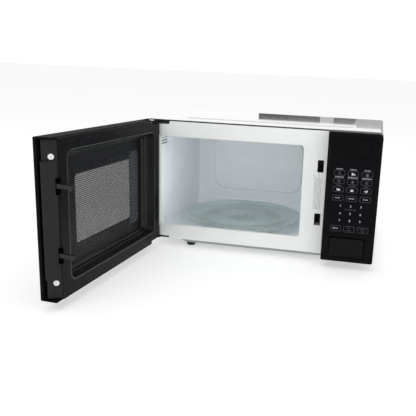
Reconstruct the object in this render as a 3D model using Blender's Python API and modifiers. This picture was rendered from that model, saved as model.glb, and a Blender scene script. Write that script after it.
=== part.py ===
"""Countertop microwave oven with its door swung open, as an assembly of separate pieces.

Metres, +Z up. The front faces -Y and the door is hinged on the left (-X) side.
Every piece is written in the cabinet's own frame with the door closed: X = 0 is the cabinet's left
side, Y = 0 the face of the front plate and Z = 0 the lower edge of the door. The cabinet_datum empty
moves that frame to the model's origin, and the door_axis empty swings the door open.
"""

import math

import bmesh
import bpy
from mathutils import Matrix, Vector

# Driving dimensions -----------------------------------------------------------------------------
WIDTH = 0.450
HEIGHT = 0.240
DEPTH = 0.285
SHEET = 0.001
GAP = 0.0003

DOOR_WIDTH = 0.352
DOOR_THICKNESS = 0.030
DOOR_GAP = 0.0006
DOOR_OPEN = math.radians(93.4)
HINGE_X = 0.0136
HINGE_Y = -0.0160

OPENING_LEFT = 0.0265
OPENING_RIGHT = 0.3073
OPENING_LOW = 0.0314
OPENING_HIGH = 0.2072

CAVITY_LEFT = 0.0210
CAVITY_RIGHT = 0.3130
CAVITY_FLOOR = 0.0090
CAVITY_TOP = 0.2130
CAVITY_BACK = 0.2720

TRAY_X = 0.1640
TRAY_Y = 0.1380
TRAY_RADIUS = 0.1275
TRACK_RADIUS = 0.0890
WHEEL_RADIUS = 0.0060
TRAY_BOTTOM = CAVITY_FLOOR + 2 * WHEEL_RADIUS + GAP

PANEL_LEFT = 0.3542
BUTTON_LEFT = 0.3690
BUTTON_RIGHT = 0.4310
BUTTON_LOW = 0.0090
BUTTON_HIGH = 0.0450

LATCH_X = 0.3386
FACE_END = 0.3388
SCREW_LOW_Z = 0.0280
SCREW_HIGH_Z = 0.2128
LATCH_LOWER_Z = 0.0690
LATCH_UPPER_Z = 0.1710

FOOT_BOTTOM = -0.0150
FOOT_LEFT = 0.0825
FOOT_RIGHT = WIDTH - FOOT_LEFT
FOOT_FRONT = 0.0275
FOOT_REAR = 0.2500
BASE_TOP = -0.0005
BASE_DROP = 0.0070
BASE_RAMP = 0.0120
INLET_X = 0.4200
INLET_Z = 0.0450
BAY_LEFT = CAVITY_RIGHT + SHEET + GAP

# Worked out from the driving dimensions ---------------------------------------------------------
DOOR_INNER = -DOOR_GAP
DOOR_OUTER = -DOOR_GAP - DOOR_THICKNESS
DOOR_REACH = DOOR_WIDTH - HINGE_X
DOOR_LOW_X = HINGE_X + DOOR_REACH * math.cos(DOOR_OPEN) + (DOOR_OUTER - HINGE_Y) * math.sin(DOOR_OPEN)
DOOR_LOW_Y = HINGE_Y - DOOR_REACH * math.sin(DOOR_OPEN) + (DOOR_OUTER - HINGE_Y) * math.cos(DOOR_OPEN)
DOOR_END_Y = HINGE_Y - DOOR_REACH * math.sin(DOOR_OPEN) + (DOOR_INNER - HINGE_Y) * math.cos(DOOR_OPEN)
REAR_FACE = DEPTH + 0.0120
DATUM = Vector((
    -(WIDTH + DOOR_LOW_X) / 2,
    -(REAR_FACE + min(DOOR_LOW_Y, DOOR_END_Y)) / 2,
    -FOOT_BOTTOM,
))

AXES = {}


# Scene and object helpers -----------------------------------------------------------------------
def clear_scene():
    for obj in list(bpy.data.objects):
        bpy.data.objects.remove(obj, do_unlink=True)


def new_collection(name):
    collection = bpy.data.collections.new(name)
    bpy.context.scene.collection.children.link(collection)
    return collection


def add_axis(name, origin, parent=None, turn=0.0):
    """An empty that carries pieces. Its place is written in the cabinet frame, door closed."""
    empty = bpy.data.objects.new(name, None)
    empty.empty_display_size = 0.02
    PARTS.objects.link(empty)
    if parent:
        empty.parent = AXES[parent][0]
        empty.location = origin - AXES[parent][1]
    else:
        empty.location = DATUM
    empty.rotation_euler = (0.0, 0.0, turn)
    AXES[name] = (empty, origin)


def attach(obj, axis):
    empty, origin = AXES[axis]
    obj.parent = empty
    obj.location = obj.location - origin


def make_material(name, color, roughness, metallic):
    material = bpy.data.materials.new(name)
    material.use_nodes = True
    shader = material.node_tree.nodes["Principled BSDF"]
    shader.inputs["Base Color"].default_value = (*color, 1.0)
    shader.inputs["Roughness"].default_value = roughness
    shader.inputs["Metallic"].default_value = metallic
    material.diffuse_color = (*color, 1.0)
    return material


def part(obj, name, look, axis="cabinet_datum", smooth=True):
    """Turn a shape into a named piece of the oven."""
    obj.name = name
    obj.data.name = name
    color, roughness, metallic = look
    obj.data.materials.clear()
    obj.data.materials.append(make_material(name, color, roughness, metallic))
    PARTS.objects.link(obj)
    attach(obj, axis)
    if smooth:
        obj.data.shade_smooth()
        obj.data.set_sharp_from_angle(angle=math.radians(32))
    return obj


def tool(obj, axis="cabinet_datum"):
    """A shape that only cuts or joins another."""
    CUTTERS.objects.link(obj)
    obj.hide_render = True
    obj.display_type = "WIRE"
    attach(obj, axis)
    return obj


def boolean(obj, other, operation, axis):
    tool(other, axis)
    modifier = obj.modifiers.new(other.name, "BOOLEAN")
    modifier.operation = operation
    modifier.object = other
    modifier.solver = "EXACT"


def cut(obj, other, axis="cabinet_datum"):
    boolean(obj, other, "DIFFERENCE", axis)


def weld_on(obj, other, axis="cabinet_datum"):
    boolean(obj, other, "UNION", axis)


def bevel(obj, width, segments=3, angle=35):
    modifier = obj.modifiers.new("round", "BEVEL")
    modifier.width = width
    modifier.segments = segments
    modifier.limit_method = "ANGLE"
    modifier.angle_limit = math.radians(angle)
    return obj


# Shapes -----------------------------------------------------------------------------------------
def from_bmesh(bm, location, name="shape"):
    mesh = bpy.data.meshes.new(name)
    bm.to_mesh(mesh)
    bm.free()
    obj = bpy.data.objects.new(name, mesh)
    obj.location = location
    return obj


def box(low, high):
    low, high = Vector(low), Vector(high)
    bm = bmesh.new()
    bmesh.ops.create_cube(bm, size=1.0)
    bmesh.ops.scale(bm, vec=high - low, verts=bm.verts)
    return from_bmesh(bm, (low + high) / 2)


def rod(start, end, radius, end_radius=None, sides=24):
    """A cylinder or cone whose origin is at its start."""
    start, end = Vector(start), Vector(end)
    along = end - start
    bm = bmesh.new()
    bmesh.ops.create_cone(
        bm, cap_ends=True, segments=sides, radius1=radius,
        radius2=radius if end_radius is None else end_radius, depth=along.length,
    )
    bmesh.ops.translate(bm, vec=(0.0, 0.0, along.length / 2), verts=bm.verts)
    turn = along.to_track_quat("Z", "Y").to_matrix()
    bmesh.ops.rotate(bm, cent=(0.0, 0.0, 0.0), matrix=turn, verts=bm.verts)
    return from_bmesh(bm, start)


def rounded_outline(low, high, radius, steps=4):
    """Corner-rounded rectangle, anticlockwise, with round stretches as arcs."""
    corners = (
        (high[0] - radius, high[1] - radius, 0.0),
        (low[0] + radius, high[1] - radius, 90.0),
        (low[0] + radius, low[1] + radius, 180.0),
        (high[0] - radius, low[1] + radius, 270.0),
    )
    points = []
    for centre_x, centre_y, start in corners:
        for step in range(steps + 1):
            angle = math.radians(start + 90.0 * step / steps)
            points.append((centre_x + radius * math.cos(angle), centre_y + radius * math.sin(angle)))
    return points


TURNS = {
    "Z": Matrix.Identity(3),
    "Y": Matrix(((1, 0, 0), (0, 0, -1), (0, 1, 0))),
    "X": Matrix(((0, 0, 1), (1, 0, 0), (0, 1, 0))),
}


def prism(outline, low, high, axis="Y"):
    """A filled flat outline with a thickness. Outline pairs are (X, Z), (Y, Z) or (X, Y)."""
    curve = bpy.data.curves.new("outline", "CURVE")
    curve.dimensions = "2D"
    curve.fill_mode = "BOTH"
    curve.extrude = (high - low) / 2
    spline = curve.splines.new("POLY")
    spline.points.add(len(outline) - 1)
    for point, (u, v) in zip(spline.points, outline):
        point.co = (u, v, 0.0, 1.0)
    spline.use_cyclic_u = True
    guide = bpy.data.objects.new("outline", curve)
    CUTTERS.objects.link(guide)
    bpy.context.view_layer.update()
    evaluated = guide.evaluated_get(bpy.context.evaluated_depsgraph_get())
    mesh = bpy.data.meshes.new_from_object(evaluated)
    bpy.data.objects.remove(guide, do_unlink=True)
    bm = bmesh.new()
    bm.from_mesh(mesh)
    bmesh.ops.remove_doubles(bm, verts=bm.verts, dist=0.00001)
    bmesh.ops.rotate(bm, cent=(0.0, 0.0, 0.0), matrix=TURNS[axis], verts=bm.verts)
    bmesh.ops.recalc_face_normals(bm, faces=bm.faces)
    bmesh.ops.dissolve_limit(bm, angle_limit=0.001, verts=bm.verts, edges=bm.edges)
    middle = (low + high) / 2
    places = {"X": (middle, 0.0, 0.0), "Y": (0.0, middle, 0.0), "Z": (0.0, 0.0, middle)}
    return from_bmesh(bm, places[axis])


def frame_prism(outer, inner, low, high, axis="Y"):
    """A flat outline with a hole, made by cutting one prism from another."""
    body = prism(outer, low, high, axis)
    hole = prism(inner, low - 0.001, high + 0.001, axis)
    return body, hole


def turned(profile, origin, steps=36, closed=True):
    """A profile of (radius, height) points screwed about Z."""
    bm = bmesh.new()
    verts = [bm.verts.new((radius, 0.0, height)) for radius, height in profile]
    for first, second in zip(verts, verts[1:]):
        bm.edges.new((first, second))
    if closed:
        bm.edges.new((verts[-1], verts[0]))
    obj = from_bmesh(bm, origin)
    screw = obj.modifiers.new("turn", "SCREW")
    screw.steps = steps
    screw.render_steps = steps
    screw.use_merge_vertices = True
    screw.merge_threshold = 0.00005
    return obj


def coil(start, end, radius, wire, turns, points_per_turn=10):
    """A helical spring along the line from start to end."""
    start, end = Vector(start), Vector(end)
    along = end - start
    turn = along.to_track_quat("Z", "Y").to_matrix()
    curve = bpy.data.curves.new("coil", "CURVE")
    curve.dimensions = "3D"
    curve.bevel_depth = wire / 2
    curve.bevel_resolution = 2
    curve.use_fill_caps = True
    spline = curve.splines.new("POLY")
    count = int(turns * points_per_turn)
    spline.points.add(count)
    for index, point in enumerate(spline.points):
        angle = 2 * math.pi * index / points_per_turn
        local = Vector((radius * math.cos(angle), radius * math.sin(angle), along.length * index / count))
        point.co = (*(turn @ local), 1.0)
    obj = bpy.data.objects.new("coil", curve)
    obj.location = start
    return obj


def slots(obj, first, size, step, count, axis="cabinet_datum"):
    """A row of box-shaped slots cut through a sheet."""
    for index in range(count):
        centre = Vector(first) + Vector(step) * index
        half = Vector(size) / 2
        cut(obj, box(centre - half, centre + half), axis)


# Looks: colour, roughness, metallic -------------------------------------------------------------
WHITE_PAINT = ((0.80, 0.81, 0.80), 0.35, 0.0)
CAVITY_PAINT = ((0.62, 0.66, 0.69), 0.45, 0.0)
BLACK_GLOSS = ((0.012, 0.012, 0.014), 0.22, 0.0)
BLACK_SATIN = ((0.020, 0.020, 0.022), 0.42, 0.0)
SMOKED_GLASS = ((0.03, 0.03, 0.035), 0.05, 0.0)
CLEAR_GLASS = ((0.70, 0.80, 0.79), 0.05, 0.0)
STEEL = ((0.55, 0.56, 0.57), 0.35, 1.0)
DARK_STEEL = ((0.10, 0.10, 0.11), 0.40, 1.0)
COPPER = ((0.60, 0.25, 0.10), 0.40, 1.0)
MICA = ((0.55, 0.42, 0.25), 0.60, 0.0)
BOARD = ((0.05, 0.22, 0.08), 0.50, 0.0)
IVORY = ((0.75, 0.72, 0.63), 0.45, 0.0)
RUBBER = ((0.015, 0.015, 0.015), 0.80, 0.0)


# Cabinet ----------------------------------------------------------------------------------------
def make_front_plate():
    """Pressed white front: a shallow pan open to the rear, with the oven mouth and latch slots."""
    left, right = 0.0012, WIDTH - 0.0012
    low, high = 0.0020, HEIGHT - 0.0012
    flange = 0.0090
    corner = 0.0060
    plate = prism(rounded_outline((left, low), (right, high), corner), 0.0, flange)
    inside = rounded_outline((left + SHEET, low + SHEET), (right - SHEET, high - SHEET), corner - SHEET)
    cut(plate, prism(inside, SHEET, flange + 0.01))
    mouth = rounded_outline((OPENING_LEFT, OPENING_LOW), (OPENING_RIGHT, OPENING_HIGH), 0.006)
    cut(plate, prism(mouth, -0.005, 0.005))
    for centre in (LATCH_LOWER_Z, LATCH_UPPER_Z):
        slot = rounded_outline((0.3350, centre - 0.0115), (0.3465, centre + 0.0115), 0.0015, 2)
        cut(plate, prism(slot, -0.005, 0.005))
    cut(plate, box((0.3720, -0.005, 0.0120), (0.4280, 0.005, 0.0420)))
    cut(plate, box((0.3650, -0.005, 0.0600), (0.4400, 0.005, 0.2250)))
    for bracket_low, bracket_high in ((0.0031, 0.0064), (0.2341, 0.2376)):
        cut(plate, box((0.0066, -0.005, bracket_low), (0.0444, 0.005, bracket_high)))
    part(plate, "front_plate", WHITE_PAINT)


def make_outer_cover():
    """Wrap-round cover: three walls in one bent sheet, a raised panel in the top, side vents."""
    front, back = 0.0003, DEPTH
    bm = bmesh.new()
    bmesh.ops.create_cube(bm, size=1.0)
    size = Vector((WIDTH, back - front, HEIGHT + 0.0003))
    bmesh.ops.scale(bm, vec=size, verts=bm.verts)
    doomed = [face for face in bm.faces if abs(face.normal.y) > 0.5 or face.normal.z < -0.5]
    bmesh.ops.delete(bm, geom=doomed, context="FACES_ONLY")
    folds = [edge for edge in bm.edges if all(vert.co.z > 0 for vert in edge.verts) and edge.is_manifold]
    bmesh.ops.bevel(bm, geom=folds, offset=0.006, segments=3, profile=0.5, affect="EDGES")
    top = max(bm.faces, key=lambda face: face.calc_center_median().z * 10 + face.calc_area())
    bmesh.ops.inset_region(bm, faces=[top], thickness=0.032, use_even_offset=True)
    bmesh.ops.inset_region(bm, faces=[top], thickness=0.0035, depth=0.0018, use_even_offset=True)
    cover = from_bmesh(bm, (WIDTH / 2, (front + back) / 2, size.z / 2))
    shell = cover.modifiers.new("sheet", "SOLIDIFY")
    shell.thickness = 0.0008
    shell.offset = -1.0
    pitch = 0.009
    slots(cover, (WIDTH, 0.150, 0.100), (0.02, 0.0035, 0.055), (0.0, pitch, 0.0), 10)
    slots(cover, (0.0, 0.060, 0.200), (0.02, 0.0035, 0.022), (0.0, pitch, 0.0), 8)
    part(cover, "outer_cover", WHITE_PAINT)


def make_base_plate():
    """Bottom pan: a sunken field with a long ramp on the left, a rim all round, a cooling grille."""
    low, high = Vector((0.0014, 0.0100, 0.0)), Vector((WIDTH - 0.0014, DEPTH - 0.0026, 0.0))
    field_low, field_high = Vector((0.0560, 0.0115, 0.0)), Vector((0.4360, 0.2680, 0.0))
    middle = (low + high) / 2
    bm = sheet_grid(high - low, field_low - middle, field_high - middle)
    centre = (field_low + field_high) / 2 - middle
    field = min(bm.faces, key=lambda item: (item.calc_center_median() - centre).length)
    bmesh.ops.inset_region(bm, faces=[field], thickness=0.0060, depth=-BASE_DROP, use_even_offset=True)
    for vert in field.verts:
        if vert.co.x < centre.x:
            vert.co.x += BASE_RAMP
    border = [edge for edge in bm.edges if edge.is_boundary]
    rim = bmesh.ops.extrude_edge_only(bm, edges=border)["geom"]
    rim_verts = [item for item in rim if isinstance(item, bmesh.types.BMVert)]
    bmesh.ops.translate(bm, vec=(0.0, 0.0, 0.0080), verts=rim_verts)
    bmesh.ops.recalc_face_normals(bm, faces=bm.faces)
    pan = from_bmesh(bm, (middle.x, middle.y, BASE_TOP))
    shell = pan.modifiers.new("sheet", "SOLIDIFY")
    shell.thickness = SHEET
    shell.offset = -1.0
    slots(pan, (0.352, 0.070, -0.006), (0.004, 0.050, 0.02), (0.009, 0.0, 0.0), 8)
    part(pan, "base_plate", STEEL)


def sheet_grid(size, field_low, field_high):
    """A flat sheet, facing up, split along the four edges of its middle field."""
    bm = bmesh.new()
    bmesh.ops.create_grid(bm, x_segments=1, y_segments=1, size=0.5)
    bmesh.ops.scale(bm, vec=(size.x, size.y, 1.0), verts=bm.verts)
    for place in (field_low, field_high):
        for normal in ((1.0, 0.0, 0.0), (0.0, 1.0, 0.0)):
            everything = bm.verts[:] + bm.edges[:] + bm.faces[:]
            bmesh.ops.bisect_plane(bm, geom=everything, plane_co=place, plane_no=normal)
    return bm


def make_rear_panel():
    """Back panel with a domed field that clears the oven liner, exhaust slots and the cord hole."""
    seat = DEPTH - 0.0004
    low, high = Vector((0.0012, 0.0, 0.0012)), Vector((WIDTH - 0.0012, 0.0, HEIGHT - 0.0014))
    dome_low, dome_high = Vector((0.028, 0.0, 0.018)), Vector((0.312, 0.0, 0.217))
    middle = (low + high) / 2
    lay_flat = Matrix.Rotation(math.radians(90), 3, "X")
    bm = sheet_grid(*(lay_flat.inverted() @ item for item in (high - low, dome_low - middle, dome_high - middle)))
    bmesh.ops.rotate(bm, cent=(0.0, 0.0, 0.0), matrix=lay_flat, verts=bm.verts)
    bmesh.ops.reverse_faces(bm, faces=bm.faces)
    top_corners = [vert for vert in bm.verts if vert.co.z > 0 and len(vert.link_faces) == 1]
    bmesh.ops.bevel(bm, geom=top_corners, offset=0.006, segments=3, profile=0.5, affect="VERTICES")
    centre = (dome_low + dome_high) / 2 - middle
    field = min(bm.faces, key=lambda item: (item.calc_center_median() - centre).length)
    bmesh.ops.inset_region(bm, faces=[field], thickness=0.006, depth=REAR_FACE - seat, use_even_offset=True)
    panel = from_bmesh(bm, (middle.x, seat, middle.z))
    shell = panel.modifiers.new("sheet", "SOLIDIFY")
    shell.thickness = SHEET
    shell.offset = -1.0
    slots(panel, (0.345, seat, 0.175), (0.0040, 0.02, 0.060), (0.0095, 0.0, 0.0), 9)
    cut(panel, rod((INLET_X, seat - 0.01, INLET_Z), (INLET_X, seat + 0.01, INLET_Z), 0.0083))
    part(panel, "rear_panel", STEEL)


def make_cord_inlet():
    """Gland that the supply lead would leave through; the lead itself is not part of the model."""
    profile = (
        (0.0080, 0.0), (0.0045, 0.0), (0.0045, 0.0200), (0.0060, 0.0200), (0.0075, 0.0180),
        (0.0105, 0.0130), (0.0105, 0.0102), (0.0080, 0.0102),
    )
    gland = turned(profile, (0.0, 0.0, 0.0), steps=20)
    gland.rotation_euler = (math.radians(-90), 0.0, 0.0)
    gland.location = (INLET_X, DEPTH - 0.0100, INLET_Z)
    part(gland, "cord_inlet", RUBBER)


def make_feet():
    top = BASE_TOP - BASE_DROP - GAP
    for name, x, y in (
        ("foot_front_left", FOOT_LEFT, FOOT_FRONT), ("foot_front_right", FOOT_RIGHT, FOOT_FRONT),
        ("foot_rear_left", FOOT_LEFT, FOOT_REAR), ("foot_rear_right", FOOT_RIGHT, FOOT_REAR),
    ):
        foot = turned(
            ((0.0, top), (0.0095, top), (0.0095, top - 0.0015), (0.0080, FOOT_BOTTOM + 0.0012),
             (0.0068, FOOT_BOTTOM), (0.0, FOOT_BOTTOM)),
            (x, y, 0.0), steps=20, closed=False,
        )
        part(foot, name, RUBBER)


def make_cavity_shell():
    """Oven liner: a rounded box open at the front, with pressed fields in its back and sides."""
    low = Vector((CAVITY_LEFT - SHEET, 0.0, CAVITY_FLOOR - SHEET))
    high = Vector((CAVITY_RIGHT + SHEET, CAVITY_BACK + SHEET, CAVITY_TOP + SHEET))
    front = SHEET + GAP
    low.y = front
    size = high - low
    bm = bmesh.new()
    bmesh.ops.create_cube(bm, size=1.0)
    bmesh.ops.scale(bm, vec=size, verts=bm.verts)
    doomed = [face for face in bm.faces if face.normal.y < -0.5]
    bmesh.ops.delete(bm, geom=doomed, context="FACES_ONLY")
    corners = [edge for edge in bm.edges if edge.is_manifold]
    bmesh.ops.bevel(bm, geom=corners, offset=0.010, segments=2, profile=0.5, affect="EDGES")
    back = max(bm.faces, key=lambda face: face.normal.y * face.calc_area())
    bmesh.ops.inset_region(bm, faces=[back], thickness=0.014, use_even_offset=True)
    bmesh.ops.inset_region(bm, faces=[back], thickness=0.004, depth=-0.003, use_even_offset=True)
    liner = from_bmesh(bm, (low + high) / 2)
    shell = liner.modifiers.new("sheet", "SOLIDIFY")
    shell.thickness = SHEET
    shell.offset = -1.0
    collar, hole = frame_prism(
        rounded_outline((CAVITY_LEFT - 0.008, CAVITY_FLOOR - 0.0018), (CAVITY_RIGHT + 0.008, CAVITY_TOP + 0.008),
                        0.004, 2),
        rounded_outline((CAVITY_LEFT - 0.0005, CAVITY_FLOOR - 0.0005), (CAVITY_RIGHT + 0.0005, CAVITY_TOP + 0.0005),
                        0.010, 3),
        front, front + SHEET,
    )
    cut(collar, hole)
    weld_on(liner, collar)
    slots(liner, (CAVITY_LEFT, 0.034, 0.190), (0.02, 0.036, 0.0022), (0.0, 0.0, 0.0055), 3)
    slots(liner, (CAVITY_RIGHT, 0.045, 0.165), (0.02, 0.030, 0.0025), (0.0, 0.0, 0.008), 5)
    cut(liner, box((CAVITY_RIGHT - 0.005, 0.130, 0.120), (CAVITY_RIGHT + 0.005, 0.190, 0.180)))
    cut(liner, rod((TRAY_X, TRAY_Y, CAVITY_FLOOR - 0.01), (TRAY_X, TRAY_Y, CAVITY_FLOOR + 0.01), 0.0045))
    cut(liner, rod((CAVITY_RIGHT - 0.01, 0.215, 0.190), (CAVITY_RIGHT + 0.01, 0.215, 0.190), 0.0085))
    part(liner, "cavity_shell", CAVITY_PAINT)


# Hinges -----------------------------------------------------------------------------------------
def make_hinges():
    arm = 0.0025
    levels = {"lower": (0.0034, 1), "upper": (0.2346, -1)}
    for side, (low, inward) in levels.items():
        high = low + arm
        bracket = box((0.0076, -0.0225, low), (0.0196, 0.0090, high))
        weld_on(bracket, box((0.0080, -0.0080, low + 0.0002), (0.0270, 0.0080, high - 0.0002)))
        tab_low, tab_high = (low + 0.0004, 0.0220) if inward > 0 else (0.2225, high - 0.0004)
        weld_on(bracket, box((0.0052, SHEET + GAP, tab_low), (0.0122, SHEET + GAP + 0.0020, tab_high)))
        weld_on(bracket, box((0.0100, SHEET + GAP, low + 0.0006), (0.0440, SHEET + GAP + 0.0020, high - 0.0006)))
        cut(bracket, rod((HINGE_X, HINGE_Y, low - 0.01), (HINGE_X, HINGE_Y, high + 0.01), 0.0033))
        part(bracket, "hinge_bracket_" + side, DARK_STEEL)
        make_hinge_pin(side, low if inward > 0 else high, inward)


def make_hinge_pin(side, face, inward):
    """Shouldered pin through the bracket, reaching into the door; its head is outside."""
    head, shank = 0.0016, 0.0185
    profile = (
        (0.0, -head * inward - GAP * inward), (0.0052, -(head + GAP) * inward), (0.0052, -GAP * inward),
        (0.0030, -GAP * inward), (0.0030, shank * inward), (0.0, shank * inward),
    )
    if inward > 0:
        profile = tuple(reversed(profile))
    pin = turned(profile, (HINGE_X, HINGE_Y, face), steps=20, closed=False)
    part(pin, "hinge_pin_" + side, STEEL)


# Door, written closed and swung open by its axis -------------------------------------------------
DOOR = "door_axis"
SKIN_BACK = DOOR_OUTER + 0.0060
WINDOW_LOW = (0.0936, 0.0660)
WINDOW_HIGH = (0.2676, 0.1740)
RECESS_LOW = (0.0350, 0.0260)
RECESS_HIGH = (0.3140, 0.2160)
RECESS_FLOOR = DOOR_INNER - 0.0200


def make_door_frame():
    """Outer moulding: front skin with a pocket for the glass, and walls on three sides."""
    back = DOOR_INNER - 0.0023
    frame = box((0.0, DOOR_OUTER, 0.0), (DOOR_WIDTH, back, HEIGHT))
    frame_edges = frame.modifiers.new("round", "BEVEL")
    frame_edges.width = 0.0020
    frame_edges.segments = 2
    frame_edges.limit_method = "ANGLE"
    wall = 0.0025
    boss_width, boss_height = 0.0300, 0.0290
    cut(frame, box((wall, SKIN_BACK, boss_height), (boss_width + 0.005, 0.01, HEIGHT - boss_height)), DOOR)
    cut(frame, box((boss_width, SKIN_BACK, wall), (DOOR_WIDTH + 0.01, 0.01, HEIGHT - wall)), DOOR)
    glass_low, glass_high = (0.0057, 0.0057), (DOOR_WIDTH - 0.0057, HEIGHT - 0.0057)
    pocket = rounded_outline(glass_low, glass_high, 0.004)
    cut(frame, prism(pocket, DOOR_OUTER - 0.01, DOOR_OUTER + 0.0033), DOOR)
    view = rounded_outline((0.0740, 0.0460), (0.2880, 0.1940), 0.006)
    cut(frame, prism(view, DOOR_OUTER - 0.01, SKIN_BACK + 0.002), DOOR)
    cut_hinge_end(frame, DOOR)
    part(frame, "door_frame", BLACK_SATIN, DOOR)


def cut_hinge_end(frame, axis):
    """Room for the hinge brackets, the pin holes, and the round corner that turns past the cabinet."""
    notch = 0.0075
    for low, high in ((-0.01, notch), (HEIGHT - notch, HEIGHT + 0.01)):
        cut(frame, box((-0.01, HINGE_Y - 0.0098, low), (0.0450, 0.01, high)), axis)
    cut(frame, rod((HINGE_X, HINGE_Y, -0.01), (HINGE_X, HINGE_Y, 0.0260), 0.0033), axis)
    cut(frame, rod((HINGE_X, HINGE_Y, HEIGHT - 0.0260), (HINGE_X, HINGE_Y, HEIGHT + 0.01), 0.0033), axis)
    for radius, corner, start in ((0.0120, (0.0, DOOR_INNER), 90.0), (0.0050, (0.0, DOOR_OUTER), 180.0)):
        inward = -1 if corner[1] > HINGE_Y else 1
        centre = (corner[0] + radius, corner[1] + inward * radius)
        arc = []
        for step in range(7):
            angle = math.radians(start + 90.0 * step / 6)
            arc.append((centre[0] + radius * math.cos(angle), centre[1] + radius * math.sin(angle)))
        far = 0.004
        outer_y = corner[1] - inward * far
        if inward < 0:
            outline = arc + [(-far, centre[1]), (-far, outer_y), (centre[0], outer_y)]
        else:
            outline = arc + [(centre[0], outer_y), (-far, outer_y), (-far, centre[1])]
        cut(frame, prism(outline, -0.01, HEIGHT + 0.01, "Z"), axis)


def make_door_glass():
    low, high = (0.0060, 0.0060), (DOOR_WIDTH - 0.0060, HEIGHT - 0.0060)
    outline = rounded_outline(low, high, 0.004)
    glass = prism(outline, DOOR_OUTER + 0.0002, DOOR_OUTER + 0.0030)
    part(glass, "door_glass", SMOKED_GLASS, DOOR)


def make_door_inner_plate():
    """Steel door plate: a tray whose upstanding rim is the radiation choke."""
    low, high = (0.0312, 0.0200), (0.3220, 0.2220)
    face = RECESS_FLOOR - GAP
    tray = box((low[0], face - SHEET, low[1]), (high[0], DOOR_INNER - 0.0035, high[1]))
    cut(tray, box((low[0] + SHEET, face, low[1] + SHEET), (high[0] - SHEET, 0.01, high[1] - SHEET)), DOOR)
    window = rounded_outline(WINDOW_LOW, WINDOW_HIGH, 0.003, 2)
    cut(tray, prism(window, face - 0.01, face + 0.005), DOOR)
    part(tray, "door_inner_plate", BLACK_SATIN, DOOR)


def make_door_screen():
    margin = 0.0040
    back = RECESS_FLOOR - GAP - SHEET - GAP
    low = (WINDOW_LOW[0] - margin, back - 0.0006, WINDOW_LOW[1] - margin)
    high = (WINDOW_HIGH[0] + margin, back, WINDOW_HIGH[1] + margin)
    part(box(low, high), "door_screen", DARK_STEEL, DOOR)


def make_door_window_film():
    margin = 0.0100
    hinge_side, above = 0.0290, 0.0130
    low = (WINDOW_LOW[0] - hinge_side, RECESS_FLOOR + GAP, WINDOW_LOW[1] - above)
    high = (WINDOW_HIGH[0] + margin, RECESS_FLOOR + GAP + 0.0006, WINDOW_HIGH[1] + above)
    part(box(low, high), "door_window_film", CLEAR_GLASS, DOOR)


def make_door_choke_cover():
    """Inner moulding: flat face, stepped recess around the window, and the free end plate."""
    face_back = DOOR_INNER - 0.0020
    left = 0.0125
    cover = box((left, face_back, 0.0015), (FACE_END, DOOR_INNER, HEIGHT - 0.0015))
    notch = 0.0075
    for low, high in ((-0.01, notch), (HEIGHT - notch, HEIGHT + 0.01)):
        cut(cover, box((-0.01, -0.03, low), (0.0450, 0.01, high)), DOOR)
    wall = 0.0015
    outer = rounded_outline((RECESS_LOW[0] - wall, RECESS_LOW[1] - wall),
                            (RECESS_HIGH[0] + wall, RECESS_HIGH[1] + wall), 0.0115)
    weld_on(cover, prism(outer, RECESS_FLOOR, DOOR_INNER - 0.0005), DOOR)
    step, drop = 0.0060, 0.0070
    for level in range(3):
        inset = step * level
        bottom = DOOR_INNER - drop * (level + 1)
        radius = 0.0100 - 0.0025 * level
        low = (RECESS_LOW[0] + inset, RECESS_LOW[1] + inset * 0.7)
        high = (RECESS_HIGH[0] - inset, RECESS_HIGH[1] - inset * 0.7)
        cut(cover, prism(rounded_outline(low, high, radius), bottom, 0.01), DOOR)
    shape_free_end(cover)
    for centre in (LATCH_LOWER_Z, LATCH_UPPER_Z):
        slot = rounded_outline((0.3342, centre - 0.0125), (0.3418, centre + 0.0125), 0.0010, 2)
        cut(cover, prism(slot, -0.03, 0.01), DOOR)
    part(cover, "door_choke_cover", BLACK_SATIN, DOOR)


def free_end_line(depth, outward=0.0):
    """A point on the sloping end wall, from its depth behind the inner face."""
    lean = 0.0096 / 0.0189
    return (FACE_END + (depth - 0.0006) * lean + outward, DOOR_INNER - depth)


def shape_free_end(cover):
    """Sloping end wall of the inner moulding, thicker between the two pockets for its screws."""
    deep = 0.0195
    wall = (free_end_line(0.0006, -0.0012), free_end_line(0.0006), free_end_line(deep), free_end_line(deep, -0.0012))
    weld_on(cover, prism(wall, 0.0040, HEIGHT - 0.0040, "Z"), DOOR)
    plate = (free_end_line(0.0014, -0.0006), free_end_line(0.0014, 0.0012), (DOOR_WIDTH, DOOR_INNER - 0.0170),
             (DOOR_WIDTH, DOOR_INNER - deep), free_end_line(deep, -0.0006))
    weld_on(cover, prism(plate, 0.0330, 0.2065, "Z"), DOOR)
    for centre in (SCREW_LOW_Z, SCREW_HIGH_Z):
        place, direction = screw_line(centre)
        cut(cover, rod(place - direction * 0.0100, place + direction * 0.0100, 0.0021, sides=16), DOOR)


def screw_line(level):
    """Where a door screw meets the end wall, and the way its head faces."""
    place = free_end_line(0.0080)
    direction = Vector((0.0189, 0.0096, 0.0)).normalized()
    return Vector((place[0], place[1], level)), direction


def make_door_screws():
    for name, z in (("door_screw_lower", SCREW_LOW_Z), ("door_screw_upper", SCREW_HIGH_Z)):
        head = 0.0042
        profile = (
            (0.0, 0.0021), (head * 0.55, 0.0021), (head, 0.0010), (head, GAP), (0.0017, GAP),
            (0.0017, -0.0034), (0.0, -0.0034),
        )
        screw = turned(profile, (0.0, 0.0, 0.0), steps=18, closed=False)
        place, direction = screw_line(z)
        screw.rotation_euler = direction.to_track_quat("Z", "Y").to_euler()
        screw.location = place
        part(screw, name, WHITE_PAINT, DOOR)


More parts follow.
